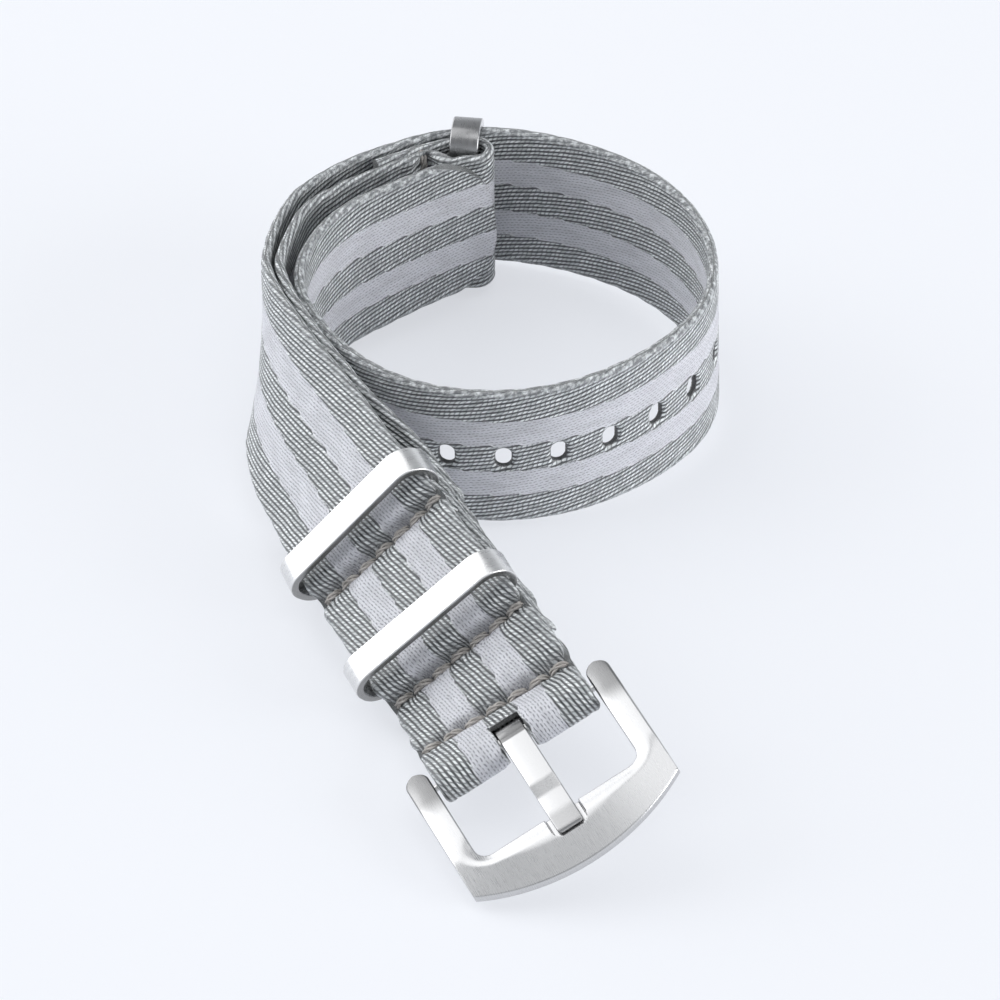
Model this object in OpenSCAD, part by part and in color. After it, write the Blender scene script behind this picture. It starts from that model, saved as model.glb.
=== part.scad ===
// Striped nylon watch strap with a steel buckle, two keepers and an end ring, lying closed in a loop

/* [Webbing] */
// Width of the webbing
web_w = 20; // [19:0.5:21]
// Thickness of the webbing
web_t = 1.2; // [1:0.05:1.3]
// Radius of the heat-cut corners at the strap's tip
tip_r = 8; // [3:0.5:9]
// Free space between two sewn layers
layer_gap = 0.12; // [0.1:0.01:0.2]

/* [Adjustment holes] */
// Number of holes
hole_count = 9; // [4:1:10]
// Distance from hole to hole
hole_pitch = 6.5; // [5:0.1:7.5]
// Size of a hole along the strap
hole_long = 2.1; // [1.6:0.1:2.6]
// Size of a hole across the strap
hole_wide = 3.0; // [2.7:0.1:3.4]
// Distance from the strap's tip to the first hole
tip_to_hole = 47.5; // [44:0.5:60]

/* [Keepers and end ring] */
// Width of the flat ring band, along the strap
band_w = 3.5; // [2.5:0.1:4]
// Thickness of the ring band
band_t = 1; // [0.8:0.05:1.2]
// Free height inside a ring
ring_h = 4.6; // [4.2:0.1:5.5]
// Free space beside the webbing in a ring
ring_side = 0.4; // [0.35:0.05:0.8]
// Outer corner radius of a ring
ring_r = 2; // [1.2:0.1:2.4]
// Free space round a ring's bar in its pocket
pocket_gap = 0.4; // [0.35:0.05:0.5]
// Rest tilt of the end ring about its sewn bar
end_ring_tilt = 14; // [0:1:16]

/* [Buckle] */
// Free space between the webbing's edge and a buckle lug
lug_gap = 0.4; // [0.3:0.05:0.8]
// Width of a buckle arm
arm_w = 2.8; // [2.4:0.1:3.4]
// Thickness of the buckle frame
frame_t = 2.4; // [2.2:0.1:2.8]
// Distance from the bar to the window's front edge
window_l = 11.7; // [9:0.1:13]
// Width of the front bar at its ends
front_end_w = 3.2; // [2.8:0.1:5]
// Extra width of the front bar in its middle
front_bow = 3.8; // [2:0.1:5]
// Distance from the bar to the lug's tip
lug_tip = 2.6; // [2.2:0.1:3]
// Droop of the buckle's front against the strap's end
buckle_droop = 12; // [8:1:14]

/* [Tongue] */
// Width of the tongue
tongue_w = 3.2; // [2.6:0.1:3.6]
// Thickness of the tongue
tongue_t = 1.1; // [0.9:0.05:1.3]
// Length that the tongue reaches past the window's front edge
tongue_over = 2.7; // [1.5:0.1:3]

/* [Spring bar] */
// Outer diameter of the spring bar's tube
bar_d = 1.8; // [1.5:0.05:1.9]
// Wall of the tube
bar_wall = 0.25; // [0.2:0.05:0.3]
// Diameter of a plunger's tip
pin_d = 0.8; // [0.7:0.05:0.9]
// Depth to which a plunger's tip sits in its lug
pin_depth = 0.9; // [0.6:0.05:1.1]
// Running clearance of pins and tongue
fit_gap = 0.05; // [0.03:0.01:0.08]

/* [Stitching] */
// Diameter of the sewing thread
thread_d = 0.5; // [0.4:0.05:0.6]
// Length of one stitch
stitch_l = 2.2; // [1.6:0.1:2.4]
// Distance from stitch to stitch
stitch_pitch = 2.8; // [2.6:0.1:3.2]
// Slant of the sewn rows across the strap
sewn_slant = 6; // [0:1:7]

/* [Hidden] */

// The way the main strap lies, from the buckle bar to the tip: each stretch has its length in mm,
// its bend about the webbing's width and its roll about the webbing's length, in degrees
strap_way = [
    [4, 0, 0], [8, 8.5, -17.5], [6, 8.5, 1], [14, -6.5, -6], [12, 3, -9.5], [10, -5.5, -6],
    [10, -12.5, -12.5], [10, -19.5, -16.5], [15, -23.5, -8], [15, -31, 11],
    [15, -41.5, -1.5], [15, -25.5, 0.5], [15, -34, 1], [10, -24, 0.5], [10, -33, 0], [15, -28, -1.5],
    [15, -34, -0.5], [15, -40.5, -0.5], [10, -19, -1], [10, -43, -1.5], [10, -35, -4.5],
    [17, -12.5, 3.5]];
// The stretch that starts at the back of the loop, where the webbing stands upright on its edge
upright = 10;
// Place and heading of the strap at that station, with the part's origin on the floor; there the
// strap stands on the end ring's lower side, and its other end is lower by this rest tilt
upright_x = -10.75;
upright_y = 52.35;
upright_heading = 30;
rest_tilt = 0.6;

// Stations along the strap, from the bar's axis
fold_row_s = 5.3;
near_row_s = 14.6;
loop_row_s = 32.7;
keeper_room = 2.5;
near_keeper_s = near_row_s + keeper_room + band_w/2;
loop_keeper_s = loop_row_s + keeper_room + band_w/2;
end_bar_s = 112.4;
end_row_s = 106.5;
short_strap_start_s = 11.5;
end_leaf_s = 100;
station_step = 2.5;

// Pitch of sewn layers, and spacing of the two layers round a ring's bar
layer = web_t + layer_gap;
pocket = band_t + 2*pocket_gap + web_t;
bar_fold_r = bar_d/2 + 0.2 + web_t/2;
// How far the outer layer rises over a ring's bar
bulge = (pocket - layer)/2;
// The end ring's bar lies tilted in its fold, so that pocket is deeper
end_pocket = band_w*sin(end_ring_tilt) + band_t*cos(end_ring_tilt) + 2*pocket_gap + web_t;
end_leaf_off = layer + 0.45;
end_bar_off = end_leaf_off + end_pocket/2;

// Rings
ring_w = web_w + 2*ring_side;
keeper_bar_off = layer/2;
loop_bar_off = layer/2 + layer;
near_keeper_slant = 0.8*sewn_slant;
loop_keeper_slant = 1.2*sewn_slant;
// A ring sits nearer to one edge of the webbing
ring_shift = ring_side/4;
upright_z = ring_w/2 + band_t - ring_shift;

// Buckle
lug_inner = web_w/2 + lug_gap;
lug_outer = lug_inner + arm_w;
front_r = (lug_outer*lug_outer + front_bow*front_bow)/(2*front_bow);
front_mid = window_l + front_end_w + front_bow;
hole_d = pin_d + 2*fit_gap;
bar_len = 2*lug_inner - 1.2;
tongue_bore = bar_d + 2*fit_gap;
tongue_knuckle = tongue_bore + 2*0.75;
slot_w = tongue_w + 0.8;
seat_w = tongue_w + 1;
seat_gap = 0.5;
seat_r = 1;

steel = [0.78, 0.78, 0.77];
nylon = [0.50, 0.51, 0.53];
thread = [0.33, 0.31, 0.30];

// Turns v about a unit axis by a degrees
function spin(v, axis, a) = v*cos(a) + cross(axis, v)*sin(a) + axis*(axis*v)*(1 - cos(a));

// Moves a frame [place, along, across] by d along a stretch that bends and rolls steadily
function moved(f, d, bend, roll) =
    let (m = norm([bend, roll]))
    m < 1e-6 ? [f[0] + f[1]*d, f[1], f[2]] :
    let (axis = (f[2]*bend + f[1]*roll)/m,
         straight = axis*(axis*f[1]),
         round_part = f[1] - straight,
         rad = m*PI/180)
    [f[0] + d*(straight + (round_part*sin(m) + cross(axis, round_part)*(1 - cos(m)))/rad),
     spin(f[1], axis, m), spin(f[2], axis, m)];

way_count = len(strap_way);
function sum_len(n) = n <= 0 ? 0 : strap_way[n - 1][0] + sum_len(n - 1);
way_s = [for (i = [0:way_count]) sum_len(i)];
strap_end_s = way_s[way_count];
upright_frame = [[upright_x, upright_y, upright_z],
                 [cos(upright_heading), sin(upright_heading)*cos(rest_tilt),
                  sin(upright_heading)*sin(rest_tilt)],
                 [0, -sin(rest_tilt), cos(rest_tilt)]];

// Frame at the start of stretch i, found by walking from the upright station
function knot(i) =
    i == upright ? upright_frame :
    i > upright ?
        let (w = strap_way[i - 1]) moved(knot(i - 1), w[0], w[1], w[2]) :
        let (w = strap_way[i]) moved(knot(i + 1), -w[0], -w[1], -w[2]);
knots = [for (i = [0:way_count]) knot(i)];

function stretch_of(s) = max([for (i = [0:way_count - 1]) if (i == 0 || way_s[i] <= s + 1e-6) i]);
function frame_at(s) =
    let (i = stretch_of(s), w = strap_way[i], d = s - way_s[i])
    moved(knots[i], d, w[1]*d/w[0], w[2]*d/w[0]);
function normal(f) = cross(f[1], f[2]);

// Smooth value at s between hand-set pairs of station and value
function eased(s, table, i = 0) =
    s <= table[0][0] ? table[0][1] :
    i >= len(table) - 1 ? table[len(table) - 1][1] :
    s > table[i + 1][0] ? eased(s, table, i + 1) :
    let (t = (s - table[i][0])/(table[i + 1][0] - table[i][0]))
    table[i][1] + (table[i + 1][1] - table[i][1])*(1 - cos(180*t))/2;

// Slant of the layers across the strap, strongest between the keepers' rows
slant_table = [[0, 0], [fold_row_s, 0.5], [near_row_s, 1], [loop_row_s, 1], [loop_keeper_s - 2, 1.2],
               [loop_keeper_s + 4, 1.2], [60, 0]];
function slant(s) = sewn_slant*eased(s, slant_table);

// A point of a layer, off below the strap's own line and u across it
function lay_point(s, off, u) =
    let (f = frame_at(s)) f[0] + normal(f)*off + f[2]*u;
// One station of a layer: [place, across, half width]
function lay(s, off, half = web_w/2) =
    let (a = half*tan(slant(s)),
         left = lay_point(s + a, off, -half),
         right = lay_point(s - a, off, half))
    [(left + right)/2, (right - left)/norm(right - left), half];
// A layer's half turn round a bar at station s and offset off, from one side to the other
function turn_point(s, off, u, along, out) =
    let (f = frame_at(s)) f[0] + normal(f)*(off + out) + f[2]*u + f[1]*along;
function half_turn(s, off, r, from, to, steps) =
    let (a = web_w/2*tan(slant(s)))
    [for (i = [0:steps])
        let (g = from + (to - from)*i/steps,
             left = turn_point(s + a, off, -web_w/2, r*cos(g), r*sin(g)),
             right = turn_point(s - a, off, web_w/2, r*cos(g), r*sin(g)))
        [(left + right)/2, (right - left)/norm(right - left), web_w/2]];
// Stations through a list of key stations, no further apart than the station step
function stations(keys) = concat(
    [for (k = [0:len(keys) - 2])
        let (gap = keys[k + 1] - keys[k],
             n = max(1, ceil(abs(gap)/station_step)))
        for (i = [0:n - 1]) keys[k] + gap*i/n],
    [keys[len(keys) - 1]]);

// Layers lie flat for this length beside a sewn row, and are parted at a bar from this length
row_flat = 0.6;
parted = 2.25;
// Where layers swing down together, the lower one does so this much earlier
swing = 0.45;
past_keeper_s = loop_keeper_s + band_w/2 + 1.8;
// Offsets of the layers: outer layer, fold-back below it, short strap below both
outer_off = [[0, -bar_fold_r + layer/2], [fold_row_s - row_flat, 0], [fold_row_s + row_flat, 0],
             [(fold_row_s + near_row_s)/2, -0.3], [near_row_s - row_flat, 0], [near_row_s + row_flat, 0],
             [near_row_s + parted, -bulge], [loop_row_s - 4, -bulge*0.8], [loop_row_s - row_flat, 0],
             [loop_row_s + row_flat, 0], [loop_row_s + parted, -bulge],
             [past_keeper_s, -bulge], [loop_row_s + 16, 0]];
fold_off = [[0, bar_fold_r + layer/2], [fold_row_s - row_flat, layer], [fold_row_s + row_flat, layer],
            [(fold_row_s + near_row_s)/2, layer + 0.1], [near_row_s - row_flat, layer],
            [near_row_s + row_flat, layer],
            [near_row_s + parted, layer + bulge], [loop_row_s - 4, layer + bulge],
            [loop_row_s - row_flat, 2*layer], [loop_row_s + row_flat, 2*layer],
            [loop_row_s + parted, loop_bar_off + pocket/2]];
short_off = [[short_strap_start_s, 2*layer + 0.15], [near_row_s - row_flat, 2*layer],
             [near_row_s + row_flat - swing, 2*layer], [near_row_s + parted - swing, 2*layer + bulge],
             [loop_row_s - 4, 2*layer + bulge], [loop_row_s - row_flat, 3*layer],
             [loop_row_s + row_flat - swing, 3*layer],
             [loop_row_s + parted - swing, loop_bar_off + pocket/2 + layer],
             [past_keeper_s, loop_bar_off + pocket/2 + layer],
             [53, 1.8], [62, layer + 0.15],
             [72, layer + 0.2], [84, 2.2], [92, 3.6], [98, end_leaf_off + layer + 0.7],
             [end_row_s - row_flat, end_leaf_off + layer + 0.1],
             [end_row_s + row_flat, end_leaf_off + layer + 0.1],
             [end_bar_s - band_w/2 - 0.2, end_bar_off + end_pocket/2]];
end_off = [[end_leaf_s, end_leaf_off + 0.35], [end_row_s - row_flat, end_leaf_off + 0.1],
           [end_row_s + row_flat, end_leaf_off + 0.1], [end_bar_s - band_w/2, end_leaf_off]];
end_turn_s = end_bar_s + band_w/2 - 0.3;
loop_turn_s = loop_keeper_s + band_w/2 + 0.2;

// The strap's tip narrows on two round corners
function tip_half(s) =
    let (x = max(0, s - (strap_end_s - tip_r)))
    web_w/2 - tip_r + sqrt(max(0.04, tip_r*tip_r - x*x));

// Key stations that all layers share, at the sewn rows and beside the bars
near_keys = [near_row_s - row_flat, near_row_s + row_flat - swing, near_row_s + row_flat,
             near_row_s + parted - swing, near_row_s + parted];
loop_keys = [loop_row_s - 4, loop_row_s - row_flat, loop_row_s + row_flat - swing,
             loop_row_s + row_flat, loop_row_s + parted - swing, loop_row_s + parted];
fold_keys = concat([0.5, fold_row_s - row_flat, fold_row_s + row_flat], near_keys, loop_keys,
                   [loop_turn_s - 0.3]);
back_keys = [for (i = [len(fold_keys) - 1:-1:0]) fold_keys[i]];
main_route = concat(
    [for (s = stations([loop_row_s - 1.8, loop_row_s - row_flat, loop_row_s + row_flat,
                        loop_row_s + parted, loop_turn_s - 0.3]))
        lay(s, eased(s, outer_off) + layer)],
    half_turn(loop_turn_s, loop_bar_off, pocket/2, -90, 90, 6),
    [for (s = stations(back_keys)) lay(s, eased(s, fold_off))],
    half_turn(0, layer/2, bar_fold_r, 90, 270, 8),
    [for (s = stations(concat(fold_keys, [past_keeper_s, 53, 62, 72, 84, 92, strap_end_s - tip_r])))
        lay(s, eased(s, outer_off))],
    [for (i = [1:6])
        let (s = strap_end_s - tip_r + (tip_r - 0.4)*sin(i*15)) lay(s, 0, tip_half(s))]);

end_keys = [end_row_s - row_flat, end_row_s + row_flat, end_turn_s - 0.3];
short_route = concat(
    [for (s = stations(concat([short_strap_start_s], near_keys, loop_keys,
                              [loop_turn_s - 0.3, past_keeper_s, 53, 62, 72, 84, 92], end_keys)))
        lay(s, eased(s, short_off))],
    half_turn(end_turn_s, end_bar_off, end_pocket/2, 90, -90, 8),
    [for (s = stations([end_turn_s - 0.3, end_row_s + row_flat, end_row_s - row_flat, end_leaf_s]))
        lay(s, eased(s, end_off))]);

// Corners of the webbing's cross-section: [share of the half width from its edge inward, height]
rim = 0.35*web_t;
section = [[0, 0.22*web_t], [-rim, web_t/2], [rim, web_t/2], [0, 0.22*web_t],
           [0, -0.22*web_t], [rim, -web_t/2], [-rim, -web_t/2], [0, -0.22*web_t]];

function unit(v) = v/norm(v);

// Webbing swept along a route of stations, with round selvedges
module webbing(route) {
    n = len(route);
    rings = [for (i = [0:n - 1])
        let (ahead = route[min(i + 1, n - 1)][0] - route[max(i - 1, 0)][0],
             across = route[i][1],
             up = unit(cross(ahead, across)),
             half = route[i][2])
        for (k = [0:7])
            let (side = k == 0 || k == 1 || k == 6 || k == 7 ? 1 : -1)
            route[i][0] + across*(side*half + section[k][0]) + up*section[k][1]];
    faces = concat(
        [for (i = [0:n - 2], k = [0:7]) each [
            [8*i + k, 8*i + (k + 1)%8, 8*(i + 1) + k],
            [8*i + (k + 1)%8, 8*(i + 1) + (k + 1)%8, 8*(i + 1) + k]]],
        [[for (k = [7:-1:0]) k]],
        [[for (k = [0:7]) 8*(n - 1) + k]]);
    polyhedron(rings, faces, convexity = 10);
}

// Puts children in the strap's frame at station s: X along the strap, Y to its left, Z outward
module on_strap(s, off = 0) {
    f = frame_at(s);
    n = normal(f);
    p = f[0] + n*off;
    multmatrix([[f[1][0], -f[2][0], -n[0], p[0]],
                [f[1][1], -f[2][1], -n[1], p[1]],
                [f[1][2], -f[2][2], -n[2], p[2]],
                [0, 0, 0, 1]]) children();
}

// Rectangle with round corners, from true circles
module round_rect(w, h, r) {
    square([w - 2*r, h], center = true);
    square([w, h - 2*r], center = true);
    for (x = [-1, 1], y = [-1, 1])
        translate([x*(w/2 - r), y*(h/2 - r)]) circle(r, $fn = 48);
}

// Adjustment hole: an oval drill through the webbing
module hole_drill() {
    flat_part = (hole_wide - hole_long)/2;
    linear_extrude(3*web_t, center = true) {
        square([hole_long, 2*flat_part], center = true);
        for (y = [-1, 1])
            translate([0, y*flat_part]) circle(hole_long/2, $fn = 24);
    }
}

module main_strap() {
    color(nylon)
    difference() {
        webbing(main_route);
        for (i = [0:hole_count - 1])
            on_strap(strap_end_s - tip_to_hole - i*hole_pitch) hole_drill();
        // Slot that lets the tongue reach round the bar
        on_strap(0, layer/2)
            cube([tongue_knuckle + 2.2, slot_w, 4*bar_fold_r], center = true);
    }
}

module short_strap() {
    color(nylon) webbing(short_route);
}

// A flat steel band bent to a ring, standing on its lower bar, X along the strap
module ring() {
    translate([0, 0, band_t/2 + ring_h/2]) rotate([90, 0, 90])
    linear_extrude(band_w, center = true)
    difference() {
        round_rect(ring_w + 2*band_t, ring_h + 2*band_t, ring_r);
        round_rect(ring_w, ring_h, ring_r - band_t*1.2);
    }
}

module keeper_near_buckle() {
    color(steel) on_strap(near_keeper_s, keeper_bar_off)
        translate([0, ring_shift, 0]) rotate([0, 0, -near_keeper_slant]) ring();
}

module keeper_near_loop() {
    color(steel) on_strap(loop_keeper_s, loop_bar_off)
        translate([0, ring_shift, 0]) rotate([0, 0, -loop_keeper_slant]) ring();
}

module end_ring() {
    color(steel) on_strap(end_bar_s, end_bar_off)
        translate([0, -ring_shift, 0]) rotate([0, end_ring_tilt, 0]) ring();
}

// Puts children in the buckle's frame: X to the left, Y forward from the bar, Z out of its face
module on_buckle() {
    on_strap(0, layer/2) rotate([0, -buckle_droop, 0]) rotate([0, 0, 90]) children();
}

// Outline of the buckle frame: two arms and a front bar with a bowed edge
module buckle_outline() {
    corner_r = 1.6;
    difference() {
        union() {
            translate([-lug_outer, 0]) square([2*lug_outer, window_l + front_end_w]);
            for (x = [-1, 1])
                translate([x*(lug_inner + arm_w/2), arm_w/2 - lug_tip]) circle(arm_w/2, $fn = 48);
            for (x = [-1, 1])
                translate([x*(lug_inner + arm_w/2) - arm_w/2, arm_w/2 - lug_tip]) square([arm_w, lug_tip]);
            intersection() {
                translate([0, front_mid - front_r]) circle(front_r, $fn = 180);
                translate([-lug_outer, window_l]) square([2*lug_outer, front_mid]);
            }
        }
        translate([-lug_inner, -2*lug_tip]) square([2*lug_inner, window_l + 2*lug_tip - corner_r]);
        translate([-lug_inner + corner_r, -2*lug_tip])
            square([2*(lug_inner - corner_r), window_l + 2*lug_tip]);
        for (x = [-1, 1])
            translate([x*(lug_inner - corner_r), window_l - corner_r]) circle(corner_r, $fn = 48);
    }
}

module buckle_frame() {
    color(steel) on_buckle() difference() {
        translate([0, 0, -frame_t/2]) linear_extrude(frame_t) buckle_outline();
        // Face of the front bar falls away towards its bowed edge
        translate([0, front_mid - front_r, 0]) rotate_extrude($fn = 180)
            polygon([[front_r - front_end_w - front_bow*0.35, frame_t],
                     [front_r - front_end_w - front_bow*0.35, frame_t/2],
                     [front_r + 0.2, -frame_t*0.05], [front_r + 0.2, frame_t]]);
        // Slope from the face down to the window
        rotate([90, 0, 90]) linear_extrude(2*lug_inner, center = true)
            polygon([[window_l - 1, frame_t/2 + 0.5], [window_l - 1, frame_t/2 - 1.2],
                     [window_l + 1.7, frame_t/2], [window_l + 1.7, frame_t/2 + 0.5]]);
        // Seat for the tongue's tip, with round corners
        translate([0, 0, frame_t/2 - 1]) linear_extrude(2) {
            translate([-seat_w/2, window_l - 1]) square([seat_w, 1 + tongue_over + seat_gap - seat_r]);
            translate([seat_r - seat_w/2, window_l - 1])
                square([seat_w - 2*seat_r, 1 + tongue_over + seat_gap]);
            for (x = [-1, 1])
                translate([x*(seat_w/2 - seat_r), window_l + tongue_over + seat_gap - seat_r])
                    circle(seat_r, $fn = 48);
        }
        // Blind holes for the spring bar's tips
        for (x = [-1, 1])
            translate([x*lug_inner, 0, 0]) rotate([0, x*90, 0])
                translate([0, 0, -0.5]) cylinder(d = hole_d, h = 0.5 + pin_depth + 0.3, $fn = 32);
    }
}

module tongue() {
    tip_y = window_l + tongue_over;
    seat_z = frame_t/2 - 0.65;
    arch_z = tongue_knuckle/2 - tongue_t;
    color(steel) on_buckle() rotate([90, 0, 90])
    linear_extrude(tongue_w, center = true)
    difference() {
        union() {
            circle(tongue_knuckle/2, $fn = 48);
            polygon([[0, arch_z], [window_l*0.62, arch_z], [window_l*0.80, seat_z], [tip_y, seat_z],
                     [tip_y, seat_z + tongue_t*0.7], [tip_y - 0.4, seat_z + tongue_t],
                     [window_l*0.80 + 0.3, seat_z + tongue_t], [window_l*0.62 + 0.3, tongue_knuckle/2],
                     [0, tongue_knuckle/2]]);
        }
        circle(tongue_bore/2, $fn = 48);
    }
}

// Spring bar parts lie along the buckle's X
module along_bar() {
    on_buckle() rotate([0, 90, 0]) children();
}

flange_t = 0.8;
flange_s = bar_len/2 - 2.2;
bore_d = bar_d - 2*bar_wall;
lip_d = pin_d + 0.3;

module spring_bar_tube() {
    color(steel) along_bar() difference() {
        cylinder(d = bar_d, h = bar_len, center = true, $fn = 48);
        cylinder(d = bore_d, h = bar_len - 0.8, center = true, $fn = 48);
        cylinder(d = pin_d + 2*fit_gap, h = bar_len + 1, center = true, $fn = 32);
    }
}

// Sliding tip with a flange that the tube's rolled end holds in
module plunger(side) {
    color(steel) along_bar() rotate([0, side < 0 ? 180 : 0, 0]) {
        translate([0, 0, flange_s]) cylinder(d = bore_d - 2*fit_gap, h = flange_t, $fn = 32);
        translate([0, 0, flange_s]) cylinder(d = pin_d, h = lug_inner + pin_depth - flange_s, $fn = 32);
    }
}

module plunger_left() {
    plunger(1);
}

module plunger_right() {
    plunger(-1);
}

// Compression spring between the plungers
spring_wire = 0.2;
spring_turns = 20;
spring_len = 2*flange_s - spring_wire - 0.1;
spring_steps = 8;
spring_r = bore_d/2 - spring_wire/2 - 0.08;
function coil_point(i) =
    let (a = 360*i/spring_steps, n = spring_turns*spring_steps)
    [spring_r*cos(a), spring_r*sin(a), -spring_len/2 + spring_len*i/n];
// Least free gap from one turn to the next, measured on the coil's points
coil_gap = min([for (i = [0:spring_steps*(spring_turns - 1)], k = [-2:2])
    norm(coil_point(i + spring_steps + k) - coil_point(i))]) - spring_wire;
echo(str("least gap between the spring's turns in mm: ", coil_gap));

module spring_bar_spring() {
    n = spring_turns*spring_steps;
    pts = [for (i = [0:n])
        let (c = coil_point(i), out = [c[0], c[1], 0]/spring_r)
        for (k = [0:5])
            c + out*spring_wire/2*cos(60*k) + [0, 0, spring_wire/2*sin(60*k)]];
    faces = concat(
        [for (i = [0:n - 1], k = [0:5]) each [
            [6*i + k, 6*(i + 1) + k, 6*i + (k + 1)%6],
            [6*i + (k + 1)%6, 6*(i + 1) + k, 6*(i + 1) + (k + 1)%6]]],
        [[for (k = [0:5]) k]],
        [[for (k = [5:-1:0]) 6*n + k]]);
    color(steel) along_bar() polyhedron(pts, faces, convexity = 10);
}

// One thread stitch lying across the webbing on both faces
module stitch() {
    rotate([90, 0, 0]) cylinder(d = thread_d, h = stitch_l - thread_d, center = true, $fn = 16);
    for (y = [-1, 1])
        translate([0, y*(stitch_l - thread_d)/2, 0]) sphere(d = thread_d, $fn = 16);
}

// A row of stitches across the strap; upper and lower are the offsets of the sewn stack's faces
module stitch_row(s, upper, lower) {
    count = floor((web_w - 0.4)/stitch_pitch);
    lift = thread_d/2 + 0.12;
    turn = slant(s);
    color(thread) for (i = [0:count - 1], face = [upper - lift, lower + lift]) {
        y = (i - (count - 1)/2)*stitch_pitch;
        on_strap(s + y*tan(turn), face)
            translate([0, y, 0]) rotate([0, 0, -turn]) stitch();
    }
}

module fold_stitching() {
    stitch_row(fold_row_s, -web_t/2, layer + web_t/2);
}

module keeper_stitching_near_buckle() {
    stitch_row(near_row_s, -web_t/2, 2*layer + web_t/2);
}

module keeper_stitching_near_loop() {
    stitch_row(loop_row_s, -web_t/2, 3*layer + web_t/2);
}

module end_ring_stitching() {
    stitch_row(end_row_s, end_leaf_off + 0.1 - web_t/2, end_leaf_off + 0.1 + layer + web_t/2);
}

main_strap();
short_strap();
buckle_frame();
tongue();
spring_bar_tube();
plunger_left();
plunger_right();
spring_bar_spring();
keeper_near_buckle();
keeper_near_loop();
end_ring();
fold_stitching();
keeper_stitching_near_buckle();
keeper_stitching_near_loop();
end_ring_stitching();
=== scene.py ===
import bpy
import math
import numpy as np
from mathutils import Matrix, Vector


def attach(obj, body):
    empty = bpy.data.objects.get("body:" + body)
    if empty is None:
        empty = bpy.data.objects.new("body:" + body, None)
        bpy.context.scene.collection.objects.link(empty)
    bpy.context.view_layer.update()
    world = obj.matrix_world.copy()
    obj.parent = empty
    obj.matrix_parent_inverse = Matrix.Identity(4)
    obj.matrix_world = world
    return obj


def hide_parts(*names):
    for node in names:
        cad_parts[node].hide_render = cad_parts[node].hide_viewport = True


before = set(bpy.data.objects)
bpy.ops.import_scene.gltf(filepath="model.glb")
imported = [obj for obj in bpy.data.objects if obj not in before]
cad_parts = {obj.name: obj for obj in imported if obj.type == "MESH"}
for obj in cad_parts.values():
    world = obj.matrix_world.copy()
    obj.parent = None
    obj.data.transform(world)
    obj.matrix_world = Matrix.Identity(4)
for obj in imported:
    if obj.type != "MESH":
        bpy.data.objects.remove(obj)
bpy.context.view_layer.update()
MM = 0.001

# Camera, at the photograph's viewing angle
cam_data = bpy.data.cameras.new("camera")
cam_data.sensor_fit = "HORIZONTAL"
cam_data.sensor_width = 36
cam_data.lens = 212.8
cam_data.clip_start = 0.05
cam_data.clip_end = 20
camera = bpy.data.objects.new("camera", cam_data)
bpy.context.scene.collection.objects.link(camera)
right = Vector((0.99999794, -0.00202893, -0.00002125))
up = Vector((0.00134435, 0.65467676, 0.75590776))
back = Vector((-0.00151977, -0.75590623, 0.65467814))
turn = Matrix((right, up, back)).transposed().to_4x4()
camera.matrix_world = Matrix.Translation(Vector((0.802264, -515.614120, 456.114209))*MM) @ turn
bpy.context.scene.camera = camera

# Sizes and stations, as in the part's source, in mm
WEB_W, WEB_T, TIP_R, LAYER_GAP = 20, 1.2, 8, 0.12
HOLE_COUNT, HOLE_PITCH, HOLE_LONG, HOLE_WIDE, TIP_TO_HOLE = 9, 6.5, 2.1, 3.0, 47.5
BAND_W, BAND_T, RING_H, RING_SIDE, RING_R = 3.5, 1, 4.6, 0.4, 2
POCKET_GAP, END_TILT, DROOP, WINDOW_L, TONGUE_W = 0.4, 14, 12, 11.7, 3.2
BAR_D, STITCH_PITCH, SLANT, TONGUE_BORE = 1.8, 2.8, 6, 1.9
# Pieces of the strap's way: length, and bend and roll in degrees
WAY = [[4, 0, 0], [8, 8.5, -17.5], [6, 8.5, 1], [14, -6.5, -6], [12, 3, -9.5], [10, -5.5, -6],
       [10, -12.5, -12.5], [10, -19.5, -16.5], [15, -23.5, -8], [15, -31, 11],
       [15, -41.5, -1.5], [15, -25.5, 0.5], [15, -34, 1], [10, -24, 0.5], [10, -33, 0],
       [15, -28, -1.5], [15, -34, -0.5], [15, -40.5, -0.5], [10, -19, -1], [10, -43, -1.5],
       [10, -35, -4.5], [17, -12.5, 3.5]]
UPRIGHT = 10
FOLD_ROW, NEAR_ROW, LOOP_ROW, END_ROW, END_BAR = 5.3, 14.6, 32.7, 106.5, 112.4
KEEPER_ROOM = 2.5
NEAR_KEEPER = NEAR_ROW + KEEPER_ROOM + BAND_W/2
LOOP_KEEPER = LOOP_ROW + KEEPER_ROOM + BAND_W/2
SHORT_START, END_LEAF = 11.5, 100
LAYER = WEB_T + LAYER_GAP
POCKET = BAND_T + 2*POCKET_GAP + WEB_T
FOLD_R = BAR_D/2 + 0.2 + WEB_T/2
BULGE = (POCKET - LAYER)/2
END_POCKET = (BAND_W*math.sin(math.radians(END_TILT)) + BAND_T*math.cos(math.radians(END_TILT))
              + 2*POCKET_GAP + WEB_T)
END_LEAF_OFF = LAYER + 0.45
END_BAR_OFF = END_LEAF_OFF + END_POCKET/2
RING_W = WEB_W + 2*RING_SIDE
RING_SHIFT = RING_SIDE/4
KEEPER_BAR_OFF = LAYER/2
LOOP_BAR_OFF = LAYER/2 + LAYER
END_TURN = END_BAR + BAND_W/2 - 0.3
LOOP_TURN = LOOP_KEEPER + BAND_W/2 + 0.2
PAST_KEEPER = LOOP_KEEPER + BAND_W/2 + 1.8
ROW_FLAT, PARTED, SWING = 0.6, 2.25, 0.45
STRAP_END = sum(w[0] for w in WAY)


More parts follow.
